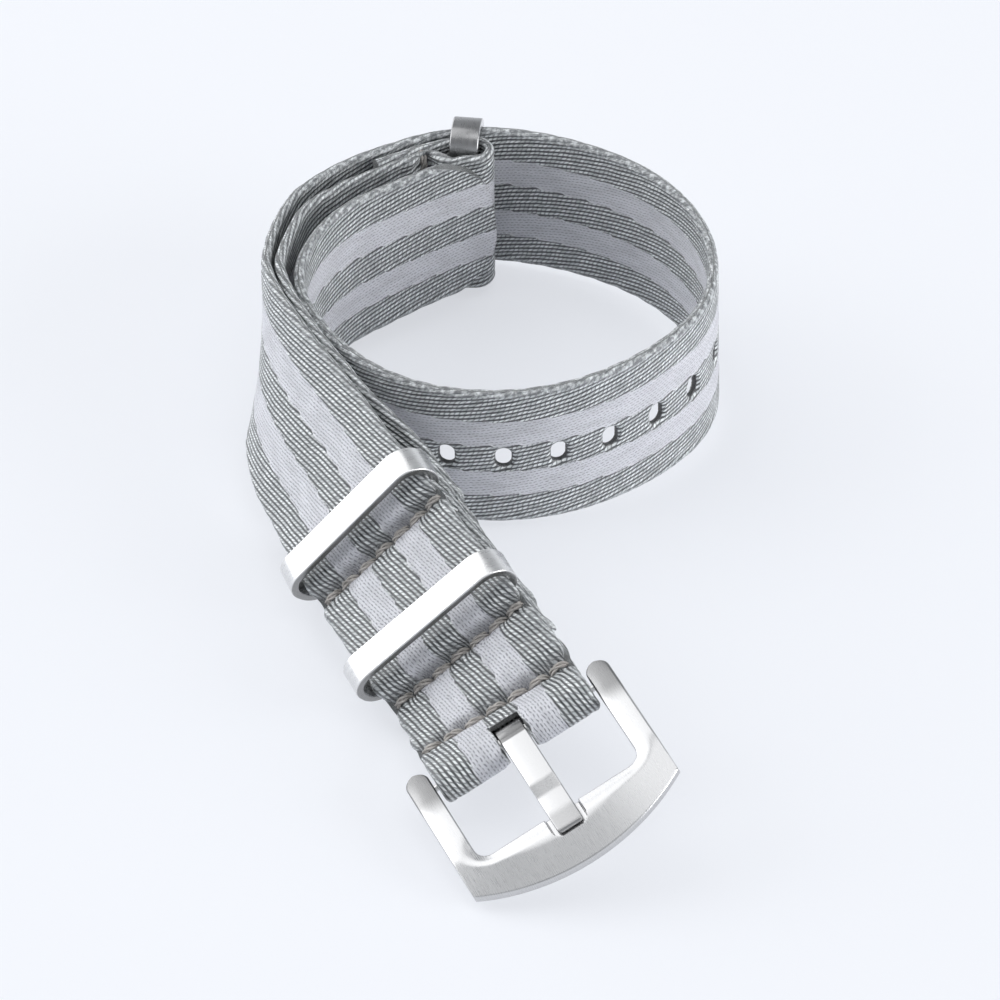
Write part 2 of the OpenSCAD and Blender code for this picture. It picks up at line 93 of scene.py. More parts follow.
# The strap's way: frames of place, along and across at each station
def spin(v, axis, a):
    """The vector v turned by the angle a about the axis."""
    return v*math.cos(a) + np.cross(axis, v)*math.sin(a) + axis*np.dot(axis, v)*(1 - math.cos(a))


def moved(f, d, bend, roll):
    """The frame after d mm, while it bends and rolls at a steady rate."""
    m = math.hypot(bend, roll)
    if m < 1e-6:
        return f[0] + f[1]*d, f[1], f[2]
    axis = (f[2]*bend + f[1]*roll)/m
    straight = axis*np.dot(axis, f[1])
    part = f[1] - straight
    a = math.radians(m)
    place = f[0] + d*(straight + (part*math.sin(a) + np.cross(axis, part)*(1 - math.cos(a)))/a)
    return place, spin(f[1], axis, a), spin(f[2], axis, a)


heading, rest = math.radians(30), math.radians(0.6)
knots = {UPRIGHT: (np.array([-10.75, 52.35, RING_W/2 + BAND_T - RING_SHIFT]),
                   np.array([math.cos(heading), math.sin(heading)*math.cos(rest),
                             math.sin(heading)*math.sin(rest)]),
                   np.array([0, -math.sin(rest), math.cos(rest)]))}
for i in range(UPRIGHT, len(WAY)):
    knots[i + 1] = moved(knots[i], *WAY[i])
for i in range(UPRIGHT - 1, -1, -1):
    knots[i] = moved(knots[i + 1], -WAY[i][0], -WAY[i][1], -WAY[i][2])
WAY_S = np.concatenate([[0], np.cumsum([w[0] for w in WAY])])


def frame_at(s):
    i = max(0, min(len(WAY) - 1, int(np.searchsorted(WAY_S, s + 1e-6, side="right")) - 1))
    (piece, bend, roll), d = WAY[i], s - WAY_S[i]
    p, t, w = moved(knots[i], d, bend*d/piece, roll*d/piece)
    return p, t, w, np.cross(t, w)


def eased(s, table):
    """Value at s of a table of (station, value), with soft steps between."""
    if s <= table[0][0]:
        return table[0][1]
    for a, b in zip(table, table[1:]):
        if s <= b[0]:
            t = (s - a[0])/(b[0] - a[0])
            return a[1] + (b[1] - a[1])*(1 - math.cos(math.pi*t))/2
    return table[-1][1]


SLANTS = [[0, 0], [FOLD_ROW, 0.5], [NEAR_ROW, 1], [LOOP_ROW, 1], [LOOP_KEEPER - 2, 1.2],
          [LOOP_KEEPER + 4, 1.2], [60, 0]]
OUTER = [[0, -FOLD_R + LAYER/2], [FOLD_ROW - ROW_FLAT, 0], [FOLD_ROW + ROW_FLAT, 0],
         [(FOLD_ROW + NEAR_ROW)/2, -0.3], [NEAR_ROW - ROW_FLAT, 0], [NEAR_ROW + ROW_FLAT, 0],
         [NEAR_ROW + PARTED, -BULGE], [LOOP_ROW - 4, -BULGE*0.8], [LOOP_ROW - ROW_FLAT, 0],
         [LOOP_ROW + ROW_FLAT, 0], [LOOP_ROW + PARTED, -BULGE], [PAST_KEEPER, -BULGE],
         [LOOP_ROW + 16, 0]]
FOLD = [[0, FOLD_R + LAYER/2], [FOLD_ROW - ROW_FLAT, LAYER], [FOLD_ROW + ROW_FLAT, LAYER],
        [(FOLD_ROW + NEAR_ROW)/2, LAYER + 0.1], [NEAR_ROW - ROW_FLAT, LAYER],
        [NEAR_ROW + ROW_FLAT, LAYER], [NEAR_ROW + PARTED, LAYER + BULGE],
        [LOOP_ROW - 4, LAYER + BULGE], [LOOP_ROW - ROW_FLAT, 2*LAYER],
        [LOOP_ROW + ROW_FLAT, 2*LAYER], [LOOP_ROW + PARTED, LOOP_BAR_OFF + POCKET/2]]
SHORT = [[SHORT_START, 2*LAYER + 0.15], [NEAR_ROW - ROW_FLAT, 2*LAYER],
         [NEAR_ROW + ROW_FLAT - SWING, 2*LAYER], [NEAR_ROW + PARTED - SWING, 2*LAYER + BULGE],
         [LOOP_ROW - 4, 2*LAYER + BULGE], [LOOP_ROW - ROW_FLAT, 3*LAYER],
         [LOOP_ROW + ROW_FLAT - SWING, 3*LAYER],
         [LOOP_ROW + PARTED - SWING, LOOP_BAR_OFF + POCKET/2 + LAYER],
         [PAST_KEEPER, LOOP_BAR_OFF + POCKET/2 + LAYER], [53, 1.8], [62, LAYER + 0.15],
         [72, LAYER + 0.2], [84, 2.2], [92, 3.6], [98, END_LEAF_OFF + LAYER + 0.7],
         [END_ROW - ROW_FLAT, END_LEAF_OFF + LAYER + 0.1],
         [END_ROW + ROW_FLAT, END_LEAF_OFF + LAYER + 0.1],
         [END_BAR - BAND_W/2 - 0.2, END_BAR_OFF + END_POCKET/2]]
END = [[END_LEAF, END_LEAF_OFF + 0.35], [END_ROW - ROW_FLAT, END_LEAF_OFF + 0.1],
       [END_ROW + ROW_FLAT, END_LEAF_OFF + 0.1], [END_BAR - BAND_W/2, END_LEAF_OFF]]


def slant(s):
    return math.radians(SLANT)*eased(s, SLANTS)


# One station of a layer: its middle and its direction across
def station(s, off, along=0.0, out=0.0):
    a = WEB_W/2*math.tan(slant(s))
    fl, fr = frame_at(s + a), frame_at(s - a)
    left = fl[0] + fl[3]*(off + out) - fl[2]*WEB_W/2 + fl[1]*along
    right = fr[0] + fr[3]*(off + out) + fr[2]*WEB_W/2 + fr[1]*along
    d = right - left
    return (left + right)/2, d/np.linalg.norm(d)


def run(a, b, table, lift=0.0, step=0.3):
    """Stations of one layer, which lies as the table says, and the lift above that."""
    n = int(math.ceil(abs(b - a)/step))
    return [station(s, eased(s, table) + lift) + (s,) for s in np.linspace(a, b, n + 1)]


def half_turn(s, off, r, a, b, n):
    """Stations round a bar at s and off, from a to b degrees."""
    out = []
    for g in np.linspace(a, b, n + 1):
        c, d = r*math.cos(math.radians(g)), r*math.sin(math.radians(g))
        out.append(station(s, off, c, d) + (s,))
    return out


# Puts points (x, y, z) from a frame on the strap into the part: x along, y to its left, z outward
def on_strap(s, off=0.0):
    p, t, w, n = frame_at(s)
    m = np.eye(4)
    m[:3, 0], m[:3, 1], m[:3, 2], m[:3, 3] = t, -w, -n, p + n*off
    return m


def turned(axis, deg):
    c, s = math.cos(math.radians(deg)), math.sin(math.radians(deg))
    m = np.eye(4)
    i, j = {"x": (1, 2), "y": (2, 0), "z": (0, 1)}[axis]
    m[i, i], m[i, j], m[j, i], m[j, j] = c, -s, s, c
    return m


def shifted(x, y, z):
    m = np.eye(4)
    m[:3, 3] = (x, y, z)
    return m


def placed(m, pts):
    return np.asarray(pts) @ m[:3, :3].T + m[:3, 3]


def path_length(pts):
    """Length along a path up to each of its points."""
    steps = np.linalg.norm(np.diff(pts, axis=0), axis=1)
    return np.concatenate([[0], np.cumsum(steps)])


# Meshes
def attribute(mesh, label, values):
    mesh.attributes.new(label, "FLOAT", "POINT").data.foreach_set(
        "value", np.asarray(values, dtype=np.float32))


def mesh_object(name, co, corners, sizes, uv, sharp=None):
    """Points in metres, all face corners in one row, corner count of each face, uv per point."""
    mesh = bpy.data.meshes.new(name)
    mesh.vertices.add(len(co))
    mesh.vertices.foreach_set("co", co.ravel())
    mesh.loops.add(len(corners))
    mesh.loops.foreach_set("vertex_index", corners)
    mesh.polygons.add(len(sizes))
    starts = np.concatenate([[0], np.cumsum(sizes)[:-1]]).astype(np.int32)
    mesh.polygons.foreach_set("loop_start", starts)
    mesh.update(calc_edges=True)
    mesh.polygons.foreach_set("use_smooth", np.full(len(sizes), True))
    layer = mesh.uv_layers.new(name="weave")
    layer.data.foreach_set("uv", np.asarray(uv, dtype=np.float32)[corners].ravel())
    if sharp is not None:
        mesh.set_sharp_from_angle(angle=math.radians(sharp))
    ob = bpy.data.objects.new(name, mesh)
    bpy.context.scene.collection.objects.link(ob)
    return ob


def make(name, pts, faces, uv, sharp=None):
    """Points in mm, faces as rows of point numbers."""
    sizes = np.array([len(f) for f in faces], dtype=np.int32)
    corners = np.array([k for f in faces for k in f], dtype=np.int32)
    return mesh_object(name, np.asarray(pts, dtype=np.float32)*MM, corners, sizes, uv, sharp)


# Materials
class Nodes:
    """Node tree of a new material or world, with short names for what is used here."""

    def __init__(self, owner, shader="Principled BSDF"):
        owner.use_nodes = True
        self.owner = owner
        self.tree = owner.node_tree
        self.shader = self.tree.nodes[shader]

    def add(self, kind, **settings):
        node = self.tree.nodes.new(kind)
        for k, v in settings.items():
            setattr(node, k, v)
        return node

    def put(self, socket, value):
        if isinstance(value, (int, float, tuple)):
            socket.default_value = value
        else:
            self.tree.links.new(value, socket)

    def fill(self, kind, values, **settings):
        node = self.add(kind, **settings)
        for k, v in enumerate(values):
            self.put(node.inputs[k], v)
        return node.outputs[0]

    def math(self, op, *values):
        return self.fill("ShaderNodeMath", values, operation=op)

    def mul(self, a, b):
        return self.math("MULTIPLY", a, b)

    def mul_add(self, a, b, c):
        return self.math("MULTIPLY_ADD", a, b, c)

    def half_wave(self, a):
        return self.math("SINE", self.mul(a, math.pi))

    def smooth(self, value, lo, hi, out_lo=0.0, out_hi=1.0):
        return self.fill("ShaderNodeMapRange", (value, lo, hi, out_lo, out_hi),
                         interpolation_type="SMOOTHSTEP")

    def vector(self, x, y, z=0.0):
        return self.fill("ShaderNodeCombineXYZ", (x, y, z))

    def split(self, vector):
        node = self.add("ShaderNodeSeparateXYZ")
        self.put(node.inputs[0], vector)
        return node.outputs

    def mix(self, f, a, b):
        node = self.add("ShaderNodeMix", data_type="RGBA")
        self.put(node.inputs[0], f)
        for k, v in ((6, a), (7, b)):
            self.put(node.inputs[k], (*v, 1) if isinstance(v, tuple) else v)
        return node.outputs[2]

    def mixf(self, f, a, b):
        node = self.add("ShaderNodeMix", data_type="FLOAT")
        for k, v in ((0, f), (2, a), (3, b)):
            self.put(node.inputs[k], v)
        return node.outputs[0]

    def noise(self, vector, scale, detail=2.0, rough=0.5):
        node = self.add("ShaderNodeTexNoise")
        for label, v in (("Vector", vector), ("Scale", scale), ("Detail", detail),
                         ("Roughness", rough)):
            self.put(node.inputs[label], v)
        return node.outputs["Fac"]

    def grain(self, u, s, across, along, detail=2.0, rough=0.5):
        """Noise in weave space, with its own scale across and along."""
        return self.noise(self.vector(self.mul(u, across), self.mul(s, along)), 1.0, detail, rough)

    def weave(self):
        """The weave map, and its places across and along in mm."""
        uv = self.add("ShaderNodeUVMap", uv_map="weave").outputs[0]
        parts = self.split(uv)
        return uv, parts[0], parts[1]

    def level(self, label):
        return self.add("ShaderNodeAttribute", attribute_name=label).outputs["Fac"]

    def bump(self, height, strength, distance):
        node = self.add("ShaderNodeBump")
        node.inputs["Strength"].default_value = strength
        node.inputs["Distance"].default_value = distance
        self.put(node.inputs["Height"], height)
        self.put(self.shader.inputs["Normal"], node.outputs[0])

    def seen(self):
        """1 for camera, glossy and transmission rays."""
        ray = self.add("ShaderNodeLightPath").outputs
        return self.math("MAXIMUM", ray["Is Camera Ray"],
                         self.math("MAXIMUM", ray["Is Glossy Ray"], ray["Is Transmission Ray"]))


# Stripe edges across the webbing, in mm
STRIPES = (4.3, 8.0, 12.0, 15.7)
# Length of a tooth, pitch of the ribs and length of a bead
TEETH, PITCH, BEAD = 3.35, 0.57, 0.62
# Pitch, dash length and sway length of the light stripes' fine rows
FINE_PITCH, DASH, SWAY = 0.40, 0.54, 0.84
# Colours of the yarns, the gaps between them, and the wear over them. The rib gaps' near black is
# dark yarn beneath plus painted shade in the gaps, and the glint is a painted highlight on the
# ribs' crests
GAP_YARN_AND_SHADE, DARK_YARN, GLINT = (0.010, 0.013, 0.014), (0.39, 0.415, 0.425), (0.93, 0.96, 0.97)
LIGHT_GAP, LIGHT_YARN = (0.24, 0.242, 0.275), (0.66, 0.665, 0.71)
SELVEDGE_GAP, SELVEDGE_YARN = (0.16, 0.17, 0.18), (0.74, 0.77, 0.79)
# The pale line is a painted highlight along the stripes' edges
EDGE_LINE, PAINTED_EDGE_HIGHLIGHT = (0.016, 0.018, 0.021), (0.80, 0.80, 0.84)
FIBRE, SOIL = (0.80, 0.82, 0.86), (0.10, 0.105, 0.11)
# Near black for the heat-cut edges, also used as painted shade at the sewn rows
MELT_AND_SHADE, MELT_AND_SHADE_PALE = (0.018, 0.019, 0.021), (0.20, 0.21, 0.225)
THREAD_GAP, THREAD_YARN = (0.11, 0.10, 0.09), (0.66, 0.63, 0.60)


def stripe_edges(n, u):
    """Share of dark yarn, the dark line along each stripe's edge, and the pale line beside it,
    which is a painted highlight on the edge.
    """
    dark, border, pale = 1.0, 0.0, 0.0
    for k, edge in enumerate(STRIPES):
        opens = k % 2 == 0
        d = n.math("SUBTRACT", u, edge)
        dark = n.math("SUBTRACT" if opens else "ADD", dark, n.smooth(d, -0.06, 0.06))
        inward = n.mul(d, 1.0 if opens else -1.0)
        line = n.smooth(n.math("ABSOLUTE", n.math("ADD", inward, 0.08)), 0.03, 0.17, 1, 0)
        # Thin pale line just inside the edge: painted highlight
        thin = n.smooth(n.math("ABSOLUTE", n.math("SUBTRACT", inward, 0.12)), 0.03, 0.11, 1, 0)
        border, pale = n.math("MAXIMUM", border, line), n.math("MAXIMUM", pale, thin)
    return dark, border, pale


def dark_ribs(n, u, s, broad):
    """Ribs of long beads with thin dark lines between: height, and a chance for each bead."""
    v = n.math("DIVIDE", n.mul_add(s, PITCH/TEETH, u), PITCH)
    row, part = n.math("FLOOR", v), n.math("FRACT", v)
    phase = n.math("ADD", n.mul_add(row, 0.36, n.math("DIVIDE", s, BEAD)), n.mul(part, 0.75))
    phase = n.mul_add(broad, 1.5, phase)
    own = n.add("ShaderNodeTexWhiteNoise", noise_dimensions="2D")
    n.put(own.inputs["Vector"], n.vector(row, n.math("FLOOR", phase)))
    bead = n.smooth(n.math("ABSOLUTE", n.half_wave(phase)), 0.0, 0.80)
    crest = n.smooth(n.half_wave(part), 0.25, 0.98)
    return n.mul(crest, n.mul_add(bead, 0.55, 0.45)), own.outputs[0]


def light_rows(n, u, bent_u, s, broad):
    """Finer rows of short dashes: 1 on a dash, 0 in a gap."""
    v = n.math("DIVIDE", n.mul_add(s, PITCH/TEETH*0.9, bent_u), FINE_PITCH)
    sway = n.math("SINE", n.mul(n.math("DIVIDE", s, SWAY), 2*math.pi))
    v = n.mul_add(sway, 0.06, n.mul_add(n.grain(u, s, 2.0, 1.1), 0.7, v))
    phase = n.mul_add(n.math("FLOOR", n.math("ADD", v, 0.5)), 0.5,
                      n.mul_add(broad, 2.5, n.math("DIVIDE", s, DASH)))
    between = n.smooth(n.half_wave(n.math("FRACT", v)), 0.05, 0.70, 1, 0)
    tick = n.smooth(n.math("ABSOLUTE", n.half_wave(phase)), 0.20, 0.90, 0.22, 1.0)
    return n.math("SUBTRACT", 1.0, n.mul(between, tick))


def webbing_material():
    n = Nodes(bpy.data.materials.new("striped_webbing"))
    _, u, s = n.weave()
    s = n.mul(s, n.level("side"))
    wander = n.grain(u, s, 0.5, 0.35, 3)
    bent_u = n.mul_add(n.math("SUBTRACT", wander, 0.5), 0.30, u)
    fine = n.grain(u, s, 7.0, 1.6, 3, 0.7)
    broad = n.grain(u, s, 0.9, 0.25)
    # Ribs run at a slant to the strap, so each stripe's edge is a row of low teeth
    tooth = n.math("FRACT", n.math("DIVIDE", s, TEETH))
    rise = n.mul(tooth, n.smooth(tooth, 0.80, 1.0, 1, 0))
    edge_u = n.mul_add(n.math("SUBTRACT", rise, 0.4), PITCH*0.5, bent_u)
    dark, border, pale = stripe_edges(n, edge_u)
    rib_h, own = dark_ribs(n, bent_u, s, broad)
    dash = light_rows(n, u, bent_u, s, broad)
    # Painted highlight on the ribs' crests, whiter on some beads than on others
    glint = n.mul(n.smooth(rib_h, 0.55, 0.95), n.smooth(own, 0.0, 0.8, 0.35, 1.0))
    # Between the ribs: dark yarn beneath, plus painted shade in the gaps
    dark_c = n.mix(n.smooth(rib_h, 0.04, 0.72), GAP_YARN_AND_SHADE, DARK_YARN)
    dark_c = n.mix(glint, dark_c, GLINT)
    # Speckled band beside each woven edge
    speck = n.grain(u, s, 1.6, 1.3, 2, 0.6)
    selvedge = n.mix(n.smooth(speck, 0.42, 0.66), SELVEDGE_GAP, SELVEDGE_YARN)
    from_middle = n.math("ABSOLUTE", n.math("SUBTRACT", bent_u, WEB_W/2))
    band = n.mul(n.smooth(from_middle, 9.0, 9.7),
                 n.smooth(n.math("ABSOLUTE", s), 120, 170, 0.4, 0.9))
    dark_c = n.mix(n.mul(band, 0.85), dark_c, selvedge)
    light_c = n.mix(n.smooth(dash, 0.0, 0.9), LIGHT_GAP, LIGHT_YARN)
    colour = n.mix(dark, light_c, dark_c)
    # Lines along the stripes' edges (the pale one a painted highlight), loose fibres, wear, the
    # heat-cut edges, and painted shade in the sewn rows' valleys and needle holes
    dotted = n.smooth(n.grain(u, s, 6.0, 6.0), 0.42, 0.62)
    for share, over in ((n.mul(border, n.smooth(tooth, 0.05, 0.45, 0.85, 0.12)), EDGE_LINE),
                        (n.mul(pale, n.smooth(tooth, 0.5, 0.8, 0.0, 0.8)), PAINTED_EDGE_HIGHLIGHT),
                        (n.smooth(fine, 0.35, 0.75, 0.0, 0.18), FIBRE),
                        (n.smooth(broad, 0.35, 0.7, 0.0, 0.16), SOIL),
                        (n.smooth(n.level("rim"), 0.2, 0.8), n.mix(dotted, MELT_AND_SHADE, MELT_AND_SHADE_PALE))):
        colour = n.mix(share, colour, over)
    n.put(n.shader.inputs["Base Color"], colour)
    height = n.mixf(dark, n.mul(dash, 0.55), rib_h)
    height = n.mul_add(fine, 0.20, n.mul_add(border, -0.35, height))
    n.bump(height, 1.0, 0.00014)
    n.put(n.shader.inputs["Roughness"], n.mixf(dark, 0.50, n.smooth(fine, 0.3, 0.7, 0.28, 0.40)))
    n.shader.inputs["Specular IOR Level"].default_value = 0.8
    n.shader.inputs["Sheen Weight"].default_value = 0.10
    n.shader.inputs["Sheen Roughness"].default_value = 0.4
    return n.owner


# Added to the weave map of the buckle and tongue, so that none of it is negative
MAP_SHIFT = 20


def steel_material(name, base, rough, stretch=None, depth=0.4, painted_shade_zones=(), edge=1.0):
    """Satin steel. stretch is the grain's scale along the two mapped directions.

    Each zone is (from, to, share before, share after): how the tone changes along the part, as
    painted shade for darker reflections.
    edge is the share of the tone on a band's edges: below 1 it paints shade there, above 1 a
    highlight.
    """
    n = Nodes(bpy.data.materials.new(name))
    if stretch:
        uv, u, s = n.weave()
        grain = n.grain(u, s, stretch[0], stretch[1], 4, 0.65)
        patch = n.noise(uv, 0.6, 3)
    else:
        co = n.add("ShaderNodeTexCoord").outputs["Object"]
        grain = n.noise(co, 9000.0, 3, 0.6)
        patch = n.noise(co, 400.0, 3)
    tone = n.mix(n.smooth(grain, 0.3, 0.7), tuple(c*0.93 for c in base), base)
    tone = n.mix(n.smooth(patch, 0.40, 0.80, 0, 0.20), tone, tuple(c*0.92 for c in base))
    for lo, hi, before, after in painted_shade_zones:
        share = n.smooth(n.math("SUBTRACT", s, MAP_SHIFT), lo, hi, before, after)
        scaled = n.add("ShaderNodeVectorMath", operation="SCALE")
        n.put(scaled.inputs[0], tone)
        n.put(scaled.inputs["Scale"], share)
        tone = scaled.outputs[0]
    # Painted shade along a band's rounded edges when edge is below 1, painted highlight when it is
    # above
    if edge != 1:
        tone = n.mix(n.smooth(n.level("edge"), 0.55, 1.0), tone, tuple(c*edge for c in base))
    n.put(n.shader.inputs["Base Color"], tone)
    n.shader.inputs["Metallic"].default_value = 1.0
    n.put(n.shader.inputs["Roughness"], n.smooth(grain, 0.25, 0.75, rough - 0.02, rough + 0.05))
    n.bump(grain, depth, 0.00001)
    return n.owner


def thread_material():
    n = Nodes(bpy.data.materials.new("sewing_thread"))
    _, u, s = n.weave()
    fibre = n.grain(u, s, 7.0, 1.2, 4, 0.7)
    n.put(n.shader.inputs["Base Color"],
          n.mix(n.smooth(fibre, 0.3, 0.7), THREAD_GAP, THREAD_YARN))
    n.put(n.shader.inputs["Roughness"], n.smooth(fibre, 0.3, 0.7, 0.45, 0.6))
    n.bump(fibre, 0.6, 0.00004)
    return n.owner


BAND_GRAIN, BUCKLE_GRAIN, TONGUE_GRAIN = (2.0, 0.5), (13.0, 0.5), (9.0, 9.0)
webbing_mat = webbing_material()
thread_mat = thread_material()
# The keepers' band edges get painted shade. The end ring's steel is painted darker than the
# keepers', as shade for its darker reflection, with painted highlights on its edges.
satin_mat = steel_material("satin_steel", (0.80, 0.80, 0.80), 0.27, BAND_GRAIN, 0.15, edge=0.42)
painted_dark_ring_mat = steel_material("end_ring_steel_painted_dark", (0.33, 0.33, 0.335), 0.27, BAND_GRAIN, 0.15, edge=2.2)
# The buckle's lug ends, the tongue's knuckle bevel and its tip are painted darker: painted shade
# for darker reflections
buckle_mat = steel_material("brushed_steel", (0.65, 0.65, 0.655), 0.27, BUCKLE_GRAIN, 0.09,
                            [(1.4, 4.4, 0.42, 0.96)])
tongue_mat = steel_material("tongue_steel", (0.57, 0.57, 0.575), 0.27, TONGUE_GRAIN, 0.15,
                            [(0.75, 1.0, 0.34, 1.0), (11.6, 12.4, 1.0, 0.76)])
inner_mat = steel_material("turned_steel", (0.70, 0.70, 0.70), 0.25)


# The webbing's cross-section, once round: the side towards the inner face first
EDGE_R = WEB_T/2
CORE = WEB_W/2 - EDGE_R
N_FACE, N_EDGE = 150, 12
face_u = np.linspace(-CORE, CORE, N_FACE + 1)
arc = np.linspace(90, -90, N_EDGE + 1)[1:-1]
arc_c, arc_s = np.cos(np.radians(arc)), np.sin(np.radians(arc))
one, zero = np.ones(N_FACE + 1), np.zeros(N_FACE + 1)
ring_u = np.concatenate([face_u, CORE + EDGE_R*arc_c, face_u[::-1], -CORE - EDGE_R*arc_c])
ring_h = np.concatenate([EDGE_R*one, EDGE_R*arc_s, -EDGE_R*one, -EDGE_R*arc_s])
ring_nu = np.concatenate([zero, arc_c, zero, -arc_c])
ring_nh = np.concatenate([one, arc_s, -one, -arc_s])
RING = len(ring_u)
side_sign = np.where(ring_nh >= 0, 1.0, -1.0)
# Arc length from the middle, so the weave goes on round the edge
arc_len = EDGE_R*np.radians(90 - arc)
arc_lay = np.minimum(arc_len, arc_len[::-1])
ring_lay = np.concatenate([face_u, CORE + arc_lay, face_u[::-1], -CORE - arc_lay])
# The point of the section that lies across from each point
mirror = np.array([int(np.argmin(np.abs(ring_u - ring_u[j]) + np.abs(ring_h + ring_h[j])
                                 + np.abs(ring_nh + ring_nh[j]))) for j in range(RING)])
# Needle holes of the sewn rows, at places across
STITCHES = 7
NEEDLES = (np.arange(STITCHES + 1) - STITCHES/2)*STITCH_PITCH
SEWN_REACH = 4
WAVE_RISE, RIB_RISE, BUMP_RISE, GROOVE_DEPTH = 0.035, 0.05, 0.07, 0.07


def bell(x, width):
    return np.exp(-(x/width)**2)


def wave(x, y, seed):
    """Low uneven waves over the whole webbing, about 1 high."""
    out = 0
    for k, (a, b, c) in enumerate(((0.31, 0.17, 1.3), (0.53, -0.29, 2.1), (0.83, 0.61, 4.7),
                                   (1.37, -0.77, 0.4))):
        out = out + np.sin(a*x + b*y + c + seed*(k + 1.7))/(k + 1.5)
    return out/2


def relief(S, U, u_real, seed):
    """How far a plain face stands out: low waves, ribs, and the selvedge's bumps and groove."""
    disp = WAVE_RISE*wave(S*0.5, U*0.6, seed)
    slope = PITCH/TEETH*-side_sign
    edge_u = U + 10 + (np.mod(-S*side_sign/TEETH, 1) - 0.45)*PITCH*0.7
    dark = ((edge_u < STRIPES[0]) | ((edge_u > STRIPES[1]) & (edge_u < STRIPES[2]))
            | (edge_u > STRIPES[3]))
    v = (U + 10 + slope*S)/PITCH
    disp += np.where(dark, RIB_RISE*np.abs(np.sin(np.pi*v))**0.8 - 0.02, 0.0)
    edge = np.clip((np.abs(u_real) - 8.9)/1.1, 0, 1)
    bumps = np.abs(np.sin(np.pi*(S/TEETH + 0.25*np.sign(u_real))))**0.7 - 0.6
    disp += edge*BUMP_RISE*bumps
    disp -= GROOVE_DEPTH*bell(np.abs(u_real) - 8.75, 0.28)
    return disp


def sewn_dip(d, u, swell=1.0):
    """How far the face is drawn in at distance d along and u across, from a sewn row.

    swell is the share of the soft rise on both sides of the row.
    """
    hole = np.min(np.abs(u[..., None] - NEEDLES), axis=-1)
    valley = 0.46*bell(d, 0.75) + 0.26*bell(d, 1.9)
    pit = 0.40*np.exp(-(d/0.65)**2 - (hole/0.50)**2)
    puff = 0.13*bell(np.abs(d) - 1.6, 0.9)*np.cos(2*np.pi*u/STITCH_PITCH)*0.8
    return valley + pit + swell*(puff - 0.24*bell(np.abs(d) - 2.6, 1.2))


def gather(d, u):
    """Yarns crowd together at the needle holes: how far the weave is moved across."""
    k = np.argmin(np.abs(u[..., None] - NEEDLES), axis=-1)
    off = u - NEEDLES[k]
    return 0.75*off*np.exp(-(d/1.3)**2 - (off/0.9)**2)


def sew_rows(rows, s_way, disp, uv_u):
    """Draws the faces and the weave in at the sewn rows, in place. Gives the painted shade there,
    in the valleys by the rows and in the needle holes.
    """
    shade = np.zeros_like(disp)
    hole = np.min(np.abs(ring_u[:, None] - NEEDLES), axis=-1)
    for (first, last), row_s, side in rows:
        on = (side_sign == side) & (np.abs(ring_nh) > 0.25)
        for i in range(first, last):
            d = s_way[i] - row_s
            if abs(d) > SEWN_REACH:
                continue
            far = np.full(RING, d)
            # No rise where the tongue swings back over the webbing
            swell = min(1, max(0, (s_way[i] - 3.2)/1.2))
            disp[i] -= np.where(on, sewn_dip(far, ring_u, swell), 0)
            uv_u[i] += gather(far, ring_u)
            # Painted shade: darker in the valley on both sides of the row, more on the side farther
            # along the strap, and darkest in the needle holes
            fold = 0.42*bell(d, 0.8) + 0.42*bell(d - 1.1, 0.9)
            dark = np.maximum(0.8*np.exp(-(d/0.5)**2 - (hole/0.42)**2), fold)
            shade[i] = np.maximum(shade[i], np.where(on, dark, 0))
    return shade


def side_walls(keep, count_all):
    """Walls between the two faces, along every open edge of the kept quads."""
    edges = np.concatenate([keep[:, [k, (k + 1) % 4]] for k in range(4)])
    key = np.sort(edges, axis=1)
    code = key[:, 0].astype(np.int64)*count_all + key[:, 1]
    _, first, count = np.unique(code, return_index=True, return_counts=True)
    top = ring_nh >= -1e-9
    walls, tris = [], []
    for p, q in edges[first[count == 1]]:
        i, j, k, m = p//RING, p % RING, q//RING, q % RING
        if not (top[j] and top[m]):
            continue
        p2, q2 = i*RING + mirror[j], k*RING + mirror[m]
        if p == p2 and q == q2:
            continue
        if p == p2:
            tris.append((q, p, q2))
        elif q == q2:
            tris.append((q, p, p2))
        else:
            walls.append((q, p, p2, q2))
    return np.array(walls, dtype=np.int64), np.array(tris, dtype=np.int64)


def quad_corners(grid):
    nxt = np.roll(np.arange(RING), -1)
    return np.stack([grid[:-1, :], grid[:-1][:, nxt], grid[1:][:, nxt], grid[1:, :]], axis=-1)


